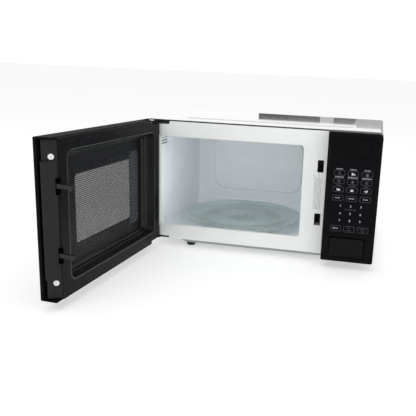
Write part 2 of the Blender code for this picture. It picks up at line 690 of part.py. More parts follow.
def make_latch_bar():
    """Sliding bar with the two hooks that enter the cabinet."""
    half = 0.0020
    x_low, x_high = LATCH_X - half, LATCH_X + half
    bar = box((x_low, -0.0180, 0.0500), (x_high, -0.0080, 0.1900))
    tip = 0.0220
    for centre in (LATCH_LOWER_Z, LATCH_UPPER_Z):
        hook = (
            (-0.0100, centre + 0.0045), (-0.0100, centre - 0.0030), (tip - 0.0070, centre - 0.0030),
            (tip - 0.0070, centre - 0.0070), (tip, centre - 0.0010), (tip - 0.0010, centre + 0.0030),
        )
        weld_on(bar, prism(hook, x_low, x_high, "X"), DOOR)
    part(bar, "latch_bar", BLACK_SATIN, DOOR)


def make_latch_spring():
    x, y = LATCH_X, -0.0130
    spring = coil((x - 0.0006, y, 0.0330), (x - 0.0006, y, 0.0494), 0.0022, 0.0005, 6)
    spring_as_part(spring, "latch_spring", DOOR)


def spring_as_part(spring, name, axis):
    """A coil keeps its curve, so its material goes on the curve's data."""
    spring.name = name
    color, roughness, metallic = STEEL
    spring.data.materials.append(make_material(name, color, roughness, metallic))
    PARTS.objects.link(spring)
    attach(spring, axis)


# Turntable --------------------------------------------------------------------------------------
def make_turntable_motor():
    top = CAVITY_FLOOR - SHEET - GAP
    motor = rod((TRAY_X, TRAY_Y, top - 0.0120), (TRAY_X, TRAY_Y, top), 0.0240, sides=32)
    weld_on(motor, box((TRAY_X - 0.0330, TRAY_Y - 0.0060, top - 0.0015), (TRAY_X + 0.0330, TRAY_Y + 0.0060, top)))
    part(motor, "turntable_motor", STEEL)


def make_turntable_coupler():
    """Three-lobed drive hub on the motor shaft, standing on the oven floor."""
    base = CAVITY_FLOOR + GAP
    top = TRAY_BOTTOM - GAP
    points = []
    for index in range(36):
        angle = 2 * math.pi * index / 36
        radius = 0.0105 + 0.0040 * math.cos(3 * angle)
        points.append((radius * math.cos(angle), radius * math.sin(angle)))
    hub = prism(points, base - TRAY_BOTTOM, top - TRAY_BOTTOM, "Z")
    hub.location += Vector((TRAY_X, TRAY_Y, TRAY_BOTTOM))
    floor_gap = 0.0006
    weld_on(hub, rod((TRAY_X, TRAY_Y, CAVITY_FLOOR - SHEET + floor_gap), (TRAY_X, TRAY_Y, base + 0.002), 0.0038),
            "tray_axis")
    part(hub, "turntable_coupler", IVORY, "tray_axis")


def make_roller_ring():
    inner, outer = 0.0770, 0.0835
    middle = CAVITY_FLOOR + WHEEL_RADIUS
    half = 0.0022
    ring = turned(((outer, half), (outer, -half), (inner, -half), (inner, half)), (TRAY_X, TRAY_Y, middle), steps=48)
    for index in range(3):
        direction = wheel_direction(index)
        centre = Vector((TRAY_X, TRAY_Y, middle))
        weld_on(ring, rod(centre + direction * 0.0800, centre + direction * 0.0950, 0.0016, sides=12), "tray_axis")
    part(ring, "roller_ring", IVORY, "tray_axis")


def wheel_direction(index):
    angle = math.radians(-35.0 + 120.0 * index)
    return Vector((math.cos(angle), math.sin(angle), 0.0))


def make_roller_wheels():
    half = 0.0025
    bore = 0.0020
    profile = ((WHEEL_RADIUS, half), (WHEEL_RADIUS, -half), (bore, -half), (bore, half))
    for index in range(3):
        direction = wheel_direction(index)
        wheel = turned(profile, (0.0, 0.0, 0.0), steps=24)
        wheel.rotation_euler = direction.to_track_quat("Z", "Y").to_euler()
        wheel.location = Vector((TRAY_X, TRAY_Y, CAVITY_FLOOR + WHEEL_RADIUS)) + direction * TRACK_RADIUS
        part(wheel, "roller_wheel_%d" % (index + 1), IVORY, "tray_axis")


def make_glass_tray():
    """Glass plate with a raised rim, a shallow track groove and three drive dogs below."""
    plate = 0.0045
    rim = 0.0103
    upper = [
        (0.0, plate + 0.0008), (0.0180, plate + 0.0008), (0.0210, plate), (TRACK_RADIUS - 0.0040, plate),
        (TRACK_RADIUS, plate + 0.0006), (TRACK_RADIUS + 0.0040, plate), (TRAY_RADIUS - 0.0145, plate),
        (TRAY_RADIUS - 0.0075, plate + 0.0015), (TRAY_RADIUS - 0.0025, rim - 0.0008),
    ]
    lower = [
        (TRAY_RADIUS - 0.0008, rim), (TRAY_RADIUS, rim - 0.0012), (TRAY_RADIUS - 0.0045, 0.0022),
        (TRAY_RADIUS - 0.0105, 0.0002), (TRAY_RADIUS - 0.0165, 0.0), (0.0, 0.0),
    ]
    tray = turned(upper + lower, (TRAY_X, TRAY_Y, TRAY_BOTTOM), steps=64, closed=False)
    for index in range(3):
        angle = math.radians(60.0 + 120.0 * index)
        place = Vector((TRAY_X, TRAY_Y, TRAY_BOTTOM)) + Vector((math.cos(angle), math.sin(angle), 0.0)) * 0.0120
        weld_on(tray, rod(place - Vector((0.0, 0.0, 0.0040)), place + Vector((0.0, 0.0, 0.0020)), 0.0022, sides=12),
                "tray_axis")
    part(tray, "glass_tray", CLEAR_GLASS, "tray_axis")


# Control panel ----------------------------------------------------------------------------------
def make_control_panel_housing():
    """Moulded panel, hollow at the back, with a bezel pocket and the button recess."""
    front, back = DOOR_OUTER, -DOOR_GAP
    wall = 0.0025
    housing = box((PANEL_LEFT, front, 0.0), (WIDTH, back, HEIGHT))
    bevel(housing, 0.0022, 2)
    cut(housing, box((PANEL_LEFT + wall, front + 0.0040, wall), (WIDTH - wall, 0.01, HEIGHT - wall)))
    pocket = rounded_outline((0.3605, 0.0520), (0.4440, 0.2340), 0.003, 2)
    cut(housing, prism(pocket, front - 0.01, front + 0.0012))
    display = rounded_outline((0.3660, 0.1950), (0.4320, 0.2300), 0.0015, 2)
    cut(housing, prism(display, front - 0.01, front + 0.006))
    mouth = rounded_outline((BUTTON_LEFT - 0.0005, BUTTON_LOW - 0.0005), (BUTTON_RIGHT + 0.0005, BUTTON_HIGH + 0.0005),
                            0.002, 2)
    cut(housing, prism(mouth, front - 0.01, front + 0.006))
    dish = prism(rounded_outline((BUTTON_LEFT - 0.005, BUTTON_LOW - 0.004), (BUTTON_RIGHT + 0.005, BUTTON_HIGH + 0.004),
                                 0.005, 3), front - 0.01, front + 0.0010)
    cut(housing, dish)
    part(housing, "control_panel_housing", BLACK_SATIN)


def make_keypad_membrane():
    """Thin printed key sheet in the panel's pocket, with the display window cut out."""
    front = DOOR_OUTER + 0.0001
    outline = rounded_outline((0.3609, 0.0524), (0.4436, 0.2336), 0.0028, 2)
    hole = rounded_outline((0.3657, 0.1947), (0.4323, 0.2303), 0.0018, 2)
    sheet, window = frame_prism(outline, hole, front, front + 0.0008)
    cut(sheet, window)
    part(sheet, "keypad_membrane", BLACK_GLOSS)


def make_display():
    front = DOOR_OUTER + 0.0002
    lens = prism(rounded_outline((0.3663, 0.1953), (0.4317, 0.2297), 0.0012, 2), front, front + 0.0030)
    part(lens, "display_window", SMOKED_GLASS)
    module_front = front + 0.0048
    module = box((0.3690, module_front, 0.1980), (0.4290, module_front + 0.0090, 0.2270))
    part(module, "display_module", DARK_STEEL)


def make_control_board():
    y = -0.0150
    board = box((0.3620, y, 0.0640), (0.4420, y + 0.0016, 0.2330))
    weld_on(board, box((0.3720, y + 0.0010, 0.0800), (0.3900, y + 0.0130, 0.1000)))
    weld_on(board, box((0.4050, y + 0.0010, 0.0820), (0.4320, y + 0.0135, 0.1120)))
    weld_on(board, box((0.3800, y + 0.0010, 0.1300), (0.4000, y + 0.0040, 0.1500)))
    for index in range(3):
        x = 0.3740 + 0.0200 * index
        weld_on(board, rod((x, y + 0.0010, 0.1750), (x, y + 0.0140, 0.1750), 0.0050, sides=16))
    part(board, "control_board", BOARD)


def make_release_button():
    """Push button: a hollow key with a stem that reaches the release lever."""
    front = DOOR_OUTER + 0.0008
    back = DOOR_OUTER + 0.0130
    key = box((BUTTON_LEFT, front, BUTTON_LOW), (BUTTON_RIGHT, back, BUTTON_HIGH))
    bevel(key, 0.0012, 2)
    scoop = rod((BUTTON_LEFT + 0.006, front - 0.0200, 0.0190), (BUTTON_RIGHT - 0.006, front - 0.0200, 0.0190),
                0.0212, sides=64)
    cut(key, scoop, "button_axis")
    cut(key, box((BUTTON_LEFT + 0.002, front + 0.0045, BUTTON_LOW + 0.002),
                 (BUTTON_RIGHT - 0.002, 0.01, BUTTON_HIGH - 0.002)), "button_axis")
    weld_on(key, box((0.3880, front + 0.0040, 0.0240), (0.3960, 0.0074, 0.0270)), "button_axis")
    part(key, "release_button", BLACK_SATIN, "button_axis")


def make_button_spring():
    """Return spring between the button's back and the front plate's rib."""
    x, z = 0.4100, 0.0270
    start = DOOR_OUTER + 0.0008 + 0.0045 + 0.0006
    spring = coil((x, start, z), (x, -0.0010, z), 0.0040, 0.0008, 6)
    spring_as_part(spring, "button_spring", "cabinet_datum")


PIVOT_Y = 0.0100
PIVOT_Z = 0.0450


def make_release_lever():
    """Bell crank: the button pushes its hanging arm and its finger lifts the door's hook."""
    shaft = rod((0.3352, PIVOT_Y, PIVOT_Z), (0.4000, PIVOT_Y, PIVOT_Z), 0.0035, sides=20)
    weld_on(shaft, box((0.3860, PIVOT_Y - 0.0020, 0.0235), (0.3980, PIVOT_Y + 0.0020, PIVOT_Z)), "lever_axis")
    weld_on(shaft, box((0.3352, PIVOT_Y, PIVOT_Z - 0.0020), (0.3424, 0.0230, PIVOT_Z + 0.0020)), "lever_axis")
    weld_on(shaft, box((0.3352, 0.0185, PIVOT_Z), (0.3424, 0.0230, 0.0570)), "lever_axis")
    part(shaft, "release_lever", IVORY, "lever_axis")


def make_latch_board():
    """Moulded bracket behind the front plate that carries the switches and the lever."""
    low_y, high_y = 0.0105, 0.0125
    board = box((0.3270, 0.0030, 0.0200), (0.3310, 0.0420, 0.2050))
    weld_on(board, box((0.3300, 0.0390, 0.0800), (0.3500, 0.0420, 0.1600)))
    weld_on(board, box((0.3300, low_y - 0.0070, 0.0860), (0.3480, high_y, 0.1520)))
    weld_on(board, box((0.3300, 0.0030, 0.1850), (0.3500, 0.0420, 0.1880)))
    part(board, "latch_board", IVORY)


def make_door_switches():
    places = {"switch_primary": 0.1600, "switch_secondary": 0.0650, "switch_monitor": 0.1100}
    for name, z in places.items():
        y_low = 0.0436
        body = box((0.3320, y_low, z), (0.3400, y_low + 0.0160, z + 0.0270))
        weld_on(body, box((0.3345, y_low - 0.0012, z + 0.0180), (0.3375, y_low + 0.0010, z + 0.0210)))
        for index in range(3):
            level = z + 0.0045 + 0.0090 * index
            weld_on(body, box((0.3335, y_low + 0.0150, level), (0.3385, y_low + 0.0220, level + 0.0008)))
        part(body, name, BLACK_SATIN)


# Power and cooling ------------------------------------------------------------------------------
def make_waveguide():
    """Duct that carries the microwaves from the magnetron to the port in the liner wall."""
    left = BAY_LEFT
    duct = box((left, 0.1200, 0.1100), (left + 0.0240, 0.2000, 0.1900))
    cut(duct, box((left - 0.01, 0.1215, 0.1115), (left + 0.0225, 0.1985, 0.1885)))
    cut(duct, rod((left + 0.01, 0.1600, 0.1500), (left + 0.03, 0.1600, 0.1500), 0.0130, sides=24))
    part(duct, "waveguide", STEEL)


def make_waveguide_cover():
    face = CAVITY_RIGHT - GAP
    cover = prism(rounded_outline((0.1240, 0.1140), (0.1960, 0.1860), 0.004, 2), face - 0.0008, face, "X")
    part(cover, "waveguide_cover", MICA)


def make_magnetron():
    """Tube with a stack of cooling fins, its antenna inside the waveguide."""
    left = BAY_LEFT + 0.0243
    low_y, high_y, low_z, high_z = 0.1200, 0.2000, 0.1150, 0.1850
    body = box((left, low_y, low_z), (left + 0.0860, high_y, high_z))
    pitch, depth = 0.0100, 0.0150
    slots(body, (left + 0.0110, low_y, 0.1550), (0.0078, 2 * depth, 0.0460), (pitch, 0.0, 0.0), 7)
    weld_on(body, rod((left - 0.0180, 0.1600, 0.1500), (left + 0.0020, 0.1600, 0.1500), 0.0085, sides=20))
    part(body, "magnetron", STEEL)


def make_transformer():
    low = Vector((0.3320, 0.1500, -0.0040))
    size = Vector((0.0900, 0.0600, 0.0760))
    floor = low.z
    core = box(low, low + size)
    window_low, window_high = floor + 0.0150, floor + 0.0610
    for left in (low.x + 0.0150, low.x + 0.0600):
        cut(core, box((left, low.y - 0.01, window_low), (left + 0.0150, low.y + size.y + 0.01, window_high)))
    part(core, "transformer_core", DARK_STEEL)
    leg_low, leg_high = low.x + 0.0300, low.x + 0.0600
    clear = 0.0006
    outer = rounded_outline((leg_low - 0.0130, low.y - 0.0125), (leg_high + 0.0130, low.y + size.y + 0.0125), 0.010)
    inner = rounded_outline((leg_low - clear, low.y - clear), (leg_high + clear, low.y + size.y + clear), 0.0005, 1)
    winding, hole = frame_prism(outer, inner, window_low + 0.0010, window_high - 0.0010, "Z")
    cut(winding, hole)
    part(winding, "transformer_winding", COPPER)


def make_capacitor():
    low = (0.3360, 0.0800)
    high = (0.3760, 0.1300)
    base = -0.0040
    can = prism(rounded_outline(low, high, 0.0160, 5), base, base + 0.0800, "Z")
    for y in (0.0950, 0.1150):
        weld_on(can, box((0.3545, y - 0.003, base + 0.0790), (0.3555, y + 0.003, base + 0.0900)))
    part(can, "capacitor", STEEL)
    clear, wall = 0.0004, 0.0012
    outer = rounded_outline((low[0] - clear - wall, low[1] - clear - wall), (high[0] + clear + wall, high[1] + clear + wall),
                            0.0160 + clear + wall, 5)
    inner = rounded_outline((low[0] - clear, low[1] - clear), (high[0] + clear, high[1] + clear), 0.0160 + clear, 5)
    strap, hole = frame_prism(outer, inner, base + 0.0300, base + 0.0450, "Z")
    cut(strap, hole)
    weld_on(strap, box((high[0] + clear + 0.0003, 0.1000, base + 0.0300), (high[0] + 0.0150, 0.1012, base + 0.0450)))
    part(strap, "capacitor_clamp", STEEL)
    diode = rod((0.3900, 0.0550, base + 0.0200), (0.3900, 0.0800, base + 0.0200), 0.0040, sides=16)
    weld_on(diode, box((0.3894, 0.0780, base + 0.0180), (0.3906, 0.0960, base + 0.0220)))
    part(diode, "diode", BLACK_SATIN)


FAN_X = 0.3860
FAN_Z = 0.1450
FAN_Y = 0.2560


def make_fan():
    """Shaded-pole motor on a square shroud; the blade runs in the shroud's ring."""
    plate_low, plate_high = 0.2710, 0.2725
    half = 0.0520
    shroud = box((FAN_X - half, plate_low, FAN_Z - half), (FAN_X + half, plate_high, FAN_Z + half))
    weld_on(shroud, rod((FAN_X, plate_low - 0.0180, FAN_Z), (FAN_X, plate_high - 0.0003, FAN_Z), 0.0500, sides=40))
    cut(shroud, rod((FAN_X, plate_low - 0.03, FAN_Z), (FAN_X, plate_high + 0.03, FAN_Z), 0.0470, sides=40))
    for side in (-1, 1):
        x = FAN_X + side * 0.0486
        weld_on(shroud, box((x - 0.0010, 0.2150, FAN_Z - 0.0060), (x + 0.0010, plate_low - 0.0100, FAN_Z + 0.0060)))
    weld_on(shroud, box((FAN_X - 0.0500, 0.2150, FAN_Z - 0.0060), (FAN_X + 0.0500, 0.2165, FAN_Z + 0.0060)))
    cut(shroud, rod((FAN_X, 0.20, FAN_Z), (FAN_X, 0.23, FAN_Z), 0.0040, sides=16))
    part(shroud, "fan_shroud", IVORY)
    motor = box((FAN_X - 0.0280, 0.2168, FAN_Z - 0.0230), (FAN_X + 0.0280, 0.2348, FAN_Z + 0.0230))
    weld_on(motor, rod((FAN_X, 0.2300, FAN_Z), (FAN_X, 0.2420, FAN_Z), 0.0150, sides=24))
    cut(motor, rod((FAN_X, 0.2250, FAN_Z), (FAN_X, 0.25, FAN_Z), 0.0020, sides=16))
    part(motor, "fan_motor", DARK_STEEL)
    make_fan_blade()


def make_fan_blade():
    hub_start, hub_end = 0.2440, 0.2660
    hub = rod((FAN_X, hub_start, FAN_Z), (FAN_X, hub_end, FAN_Z), 0.0110, sides=24)
    weld_on(hub, rod((FAN_X, 0.2270, FAN_Z), (FAN_X, hub_start + 0.002, FAN_Z), 0.0016, sides=12), "fan_axis")
    blades, reach = 5, 0.0445
    for index in range(blades):
        bm = bmesh.new()
        bmesh.ops.create_cube(bm, size=1.0)
        bmesh.ops.scale(bm, vec=(reach - 0.0090, 0.0012, 0.0210), verts=bm.verts)
        pitch = Matrix.Rotation(math.radians(38), 3, "X")
        bmesh.ops.rotate(bm, cent=(0.0, 0.0, 0.0), matrix=pitch, verts=bm.verts)
        bmesh.ops.translate(bm, vec=((reach + 0.0090) / 2, 0.0, 0.0), verts=bm.verts)
        around = Matrix.Rotation(2 * math.pi * index / blades, 3, "Y")
        bmesh.ops.rotate(bm, cent=(0.0, 0.0, 0.0), matrix=around, verts=bm.verts)
        weld_on(hub, from_bmesh(bm, (FAN_X, (hub_start + hub_end) / 2, FAN_Z)), "fan_axis")
    part(hub, "fan_blade", IVORY, "fan_axis")


def make_filter_board():
    low_z = 0.2080
    board = box((0.3400, 0.2100, low_z), (0.4300, 0.2620, low_z + 0.0016))
    weld_on(board, rod((0.3600, 0.2360, low_z + 0.001), (0.3600, 0.2360, low_z + 0.0180), 0.0130, sides=20))
    weld_on(board, box((0.3850, 0.2200, low_z + 0.001), (0.4150, 0.2320, low_z + 0.0160)))
    weld_on(board, rod((0.3850, 0.2500, low_z + 0.0045), (0.4200, 0.2500, low_z + 0.0045), 0.0036, sides=14))
    part(board, "filter_board", BOARD)


def make_lamp():
    x, y, z = BAY_LEFT, 0.2150, 0.1900
    holder = turned(
        ((0.0125, 0.0020), (0.0125, 0.0), (0.0095, 0.0), (0.0095, 0.0020)), (0.0, 0.0, 0.0), steps=24,
    )
    holder.rotation_euler = (0.0, math.radians(90), 0.0)
    holder.location = (x, y, z)
    weld_on(holder, box((x + 0.0200, y - 0.0110, z - 0.0110), (x + 0.0240, y + 0.0110, z + 0.0110)))
    for side in (-1, 1):
        weld_on(holder, box((x + 0.0010, y - 0.0050, z + side * 0.0105 - 0.0008),
                            (x + 0.0220, y + 0.0050, z + side * 0.0105 + 0.0008)))
    part(holder, "lamp_holder", IVORY)
    bulb = turned(
        ((0.0, 0.0195), (0.0055, 0.0195), (0.0055, 0.0120), (0.0075, 0.0070), (0.0070, 0.0020), (0.0040, -0.0010),
         (0.0, -0.0018)),
        (0.0, 0.0, 0.0), steps=20, closed=False,
    )
    bulb.rotation_euler = (0.0, math.radians(90), 0.0)
    bulb.location = (x, y, z)
    part(bulb, "oven_lamp", CLEAR_GLASS)


def make_thermal_cutout():
    z = CAVITY_TOP + SHEET + GAP
    cutout = rod((0.2500, 0.1500, z), (0.2500, 0.1500, z + 0.0080), 0.0075, sides=20)
    weld_on(cutout, box((0.2380, 0.1460, z), (0.2620, 0.1540, z + 0.0010)))
    for side in (-1, 1):
        weld_on(cutout, box((0.2500 + side * 0.0040 - 0.0004, 0.1475, z + 0.0070),
                            (0.2500 + side * 0.0040 + 0.0004, 0.1525, z + 0.0130)))
    part(cutout, "thermal_cutout", BLACK_SATIN)


def main():
    add_axis("cabinet_datum", Vector((0.0, 0.0, 0.0)))
    add_axis("door_axis", Vector((HINGE_X, HINGE_Y, 0.0)), "cabinet_datum", -DOOR_OPEN)
    add_axis("tray_axis", Vector((TRAY_X, TRAY_Y, CAVITY_FLOOR)), "cabinet_datum")
    add_axis("button_axis", Vector(((BUTTON_LEFT + BUTTON_RIGHT) / 2, DOOR_OUTER, 0.0270)), "cabinet_datum")
    add_axis("lever_axis", Vector((0.3676, PIVOT_Y, PIVOT_Z)), "cabinet_datum")
    add_axis("fan_axis", Vector((FAN_X, FAN_Y, FAN_Z)), "cabinet_datum")
    make_front_plate()
    make_outer_cover()
    make_base_plate()
    make_rear_panel()
    make_cord_inlet()
    make_feet()
    make_cavity_shell()
    make_hinges()
    make_door_frame()
    make_door_glass()
    make_door_inner_plate()
    make_door_screen()
    make_door_window_film()
    make_door_choke_cover()
    make_door_screws()
    make_latch_bar()
    make_latch_spring()
    make_turntable_motor()
    make_turntable_coupler()
    make_roller_ring()
    make_roller_wheels()
    make_glass_tray()
    make_control_panel_housing()
    make_keypad_membrane()
    make_display()
    make_control_board()
    make_release_button()
    make_button_spring()
    make_release_lever()
    make_latch_board()
    make_door_switches()
    make_waveguide()
    make_waveguide_cover()
    make_magnetron()
    make_transformer()
    make_capacitor()
    make_fan()
    make_filter_board()
    make_lamp()
    make_thermal_cutout()


clear_scene()
PARTS = new_collection("microwave_oven")
CUTTERS = new_collection("cutters")
main()
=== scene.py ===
"""Looks of the countertop microwave oven: fine geometry, materials, springs, studio and camera.

Lengths are in metres. Pieces are written in the cabinet's own frame with the door closed: X = 0 is the
cabinet's left side, Y = 0 the face of the front plate, Z = 0 the lower edge of the door. PLACES moves
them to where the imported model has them.
"""

import math

import bmesh
import bpy
from mathutils import Matrix, Vector


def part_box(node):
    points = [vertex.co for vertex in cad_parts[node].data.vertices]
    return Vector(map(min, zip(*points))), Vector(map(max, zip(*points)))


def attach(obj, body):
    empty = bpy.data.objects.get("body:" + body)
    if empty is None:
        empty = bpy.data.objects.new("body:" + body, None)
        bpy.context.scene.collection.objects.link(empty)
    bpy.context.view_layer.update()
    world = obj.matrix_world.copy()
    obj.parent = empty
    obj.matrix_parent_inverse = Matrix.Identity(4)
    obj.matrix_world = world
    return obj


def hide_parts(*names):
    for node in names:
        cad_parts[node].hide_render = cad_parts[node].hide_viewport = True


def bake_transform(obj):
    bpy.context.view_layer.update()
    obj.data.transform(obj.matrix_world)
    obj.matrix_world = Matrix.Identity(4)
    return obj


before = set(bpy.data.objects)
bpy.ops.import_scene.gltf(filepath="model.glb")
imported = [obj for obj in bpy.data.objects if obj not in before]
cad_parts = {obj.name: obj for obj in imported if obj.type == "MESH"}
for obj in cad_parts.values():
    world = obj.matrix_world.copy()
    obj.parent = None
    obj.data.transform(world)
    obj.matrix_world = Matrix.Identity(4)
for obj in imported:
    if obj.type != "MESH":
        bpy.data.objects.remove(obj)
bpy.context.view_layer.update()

# Driving dimensions -----------------------------------------------------------------------------
# LOW and HIGH pairs are (X, Z) corners of an outline, and the other names are levels or lengths.
PLATE_EDGE = Vector((0.0012, 0.0, 0.0020))
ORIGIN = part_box("front_plate")[0] - PLATE_EDGE
WIDTH, HEIGHT, DEPTH = 0.450, 0.240, 0.285
SHEET = 0.0008
DOOR_WIDTH = 0.352
HINGE = Vector((0.0136, -0.0160, 0.0))
DOOR_OPEN = math.radians(93.4)
DOOR_INNER, DOOR_OUTER = -0.0006, -0.0306
SKIN_BACK = DOOR_OUTER + 0.0060
MOUTH_LOW, MOUTH_HIGH = (0.0265, 0.0314), (0.3073, 0.2072)
CAVITY_LOW, CAVITY_HIGH = (0.0210, 0.0090), (0.3130, 0.2130)
CAVITY_BACK = 0.2720
TRAY = Vector((0.1640, 0.1380, 0.0213))
TRAY_RADIUS = 0.1275
TRACK_RADIUS = 0.0890
WHEEL_RADIUS = 0.0060
WINDOW_LOW, WINDOW_HIGH = (0.0936, 0.0660), (0.2676, 0.1740)
RECESS_LOW, RECESS_HIGH = (0.0350, 0.0260), (0.3140, 0.2160)
RECESS_FLOOR = DOOR_INNER - 0.0200
PANEL_LEFT = 0.3542
HINGE_NOTCH = 0.0075
LATCH_X = 0.3386
FACE_END = 0.3388
SCREW_LEVELS = (("door_screw_lower", 0.0280), ("door_screw_upper", 0.2128))
LATCH_LEVELS = (0.0690, 0.1710)
BUTTON_LOW, BUTTON_HIGH = (0.3690, 0.0090), (0.4310, 0.0450)
PRINT_FRONT, PRINT_BACK = DOOR_OUTER + 0.00004, DOOR_OUTER + 0.00014
KEY_COLUMNS = (0.3781, 0.4025, 0.4275)
KEY_WIDTH = 0.0194
GAP = 0.0003
TO_WORLD = Matrix.Translation(ORIGIN)
SWING = Matrix.Translation(HINGE) @ Matrix.Rotation(-DOOR_OPEN, 4, "Z") @ Matrix.Translation(-HINGE)
PLACES = {"door": TO_WORLD @ SWING, "latch_bar": TO_WORLD @ SWING}


# Node materials ---------------------------------------------------------------------------------
def add_node(tree, kind, **inputs):
    node = tree.nodes.new(kind)
    for name, value in inputs.items():
        node.inputs[name.replace("_", " ")].default_value = value
    return node


def noise(tree, vector, scale, detail=3.0):
    node = add_node(tree, "ShaderNodeTexNoise", Scale=scale, Detail=detail)
    tree.links.new(vector, node.inputs["Vector"])
    return node.outputs["Fac"]


def remap(tree, value, low, high, start=0.3, end=0.7):
    node = tree.nodes.new("ShaderNodeMapRange")
    for name, number in (("From Min", start), ("From Max", end), ("To Min", low), ("To Max", high)):
        node.inputs[name].default_value = number
    tree.links.new(value, node.inputs["Value"])
    return node.outputs["Result"]


def blend_colors(tree, factor, first, second):
    node = tree.nodes.new("ShaderNodeMix")
    node.data_type = "RGBA"
    node.inputs["A"].default_value = (*first, 1.0)
    node.inputs["B"].default_value = (*second, 1.0)
    tree.links.new(factor, node.inputs["Factor"])
    return node.outputs["Result"]


def surface(name, color, roughness, metallic=0.0, spread=0.05, scale=40.0, rough_spread=0.05,
            grain=900.0, bump=0.05, stretch=(1.0, 1.0, 1.0), pattern="noise", **sockets):
    """A Principled surface whose colour, roughness and relief vary over the piece."""
    material = bpy.data.materials.new(name)
    material.use_nodes = True
    tree = material.node_tree
    shader = tree.nodes["Principled BSDF"]
    coordinates = tree.nodes.new("ShaderNodeTexCoord")
    mapping = tree.nodes.new("ShaderNodeMapping")
    mapping.inputs["Scale"].default_value = stretch
    tree.links.new(coordinates.outputs["Object"], mapping.inputs["Vector"])
    vector = mapping.outputs["Vector"]
    if pattern == "spangle":
        cells = add_node(tree, "ShaderNodeTexVoronoi", Scale=scale)
        tree.links.new(vector, cells.inputs["Vector"])
        tone = remap(tree, cells.outputs["Color"], 0.0, 1.0, 0.0, 1.0)
    else:
        tone = remap(tree, noise(tree, vector, scale), 0.0, 1.0)
    darker = tuple(max(0.0, channel * (1.0 - spread)) for channel in color)
    lighter = tuple(min(1.0, channel * (1.0 + spread)) for channel in color)
    tree.links.new(blend_colors(tree, tone, darker, lighter), shader.inputs["Base Color"])
    coarse = noise(tree, vector, scale * 2.7)
    rough = remap(tree, coarse, roughness - rough_spread, roughness + rough_spread)
    tree.links.new(rough, shader.inputs["Roughness"])
    relief = add_node(tree, "ShaderNodeBump", Strength=bump, Distance=0.0003)
    tree.links.new(noise(tree, vector, grain, 2.0), relief.inputs["Height"])
    tree.links.new(relief.outputs["Normal"], shader.inputs["Normal"])
    shader.inputs["Metallic"].default_value = metallic
    for socket, value in sockets.items():
        shader.inputs[socket.replace("_", " ")].default_value = value
    material.diffuse_color = (*color, 1.0)
    return material


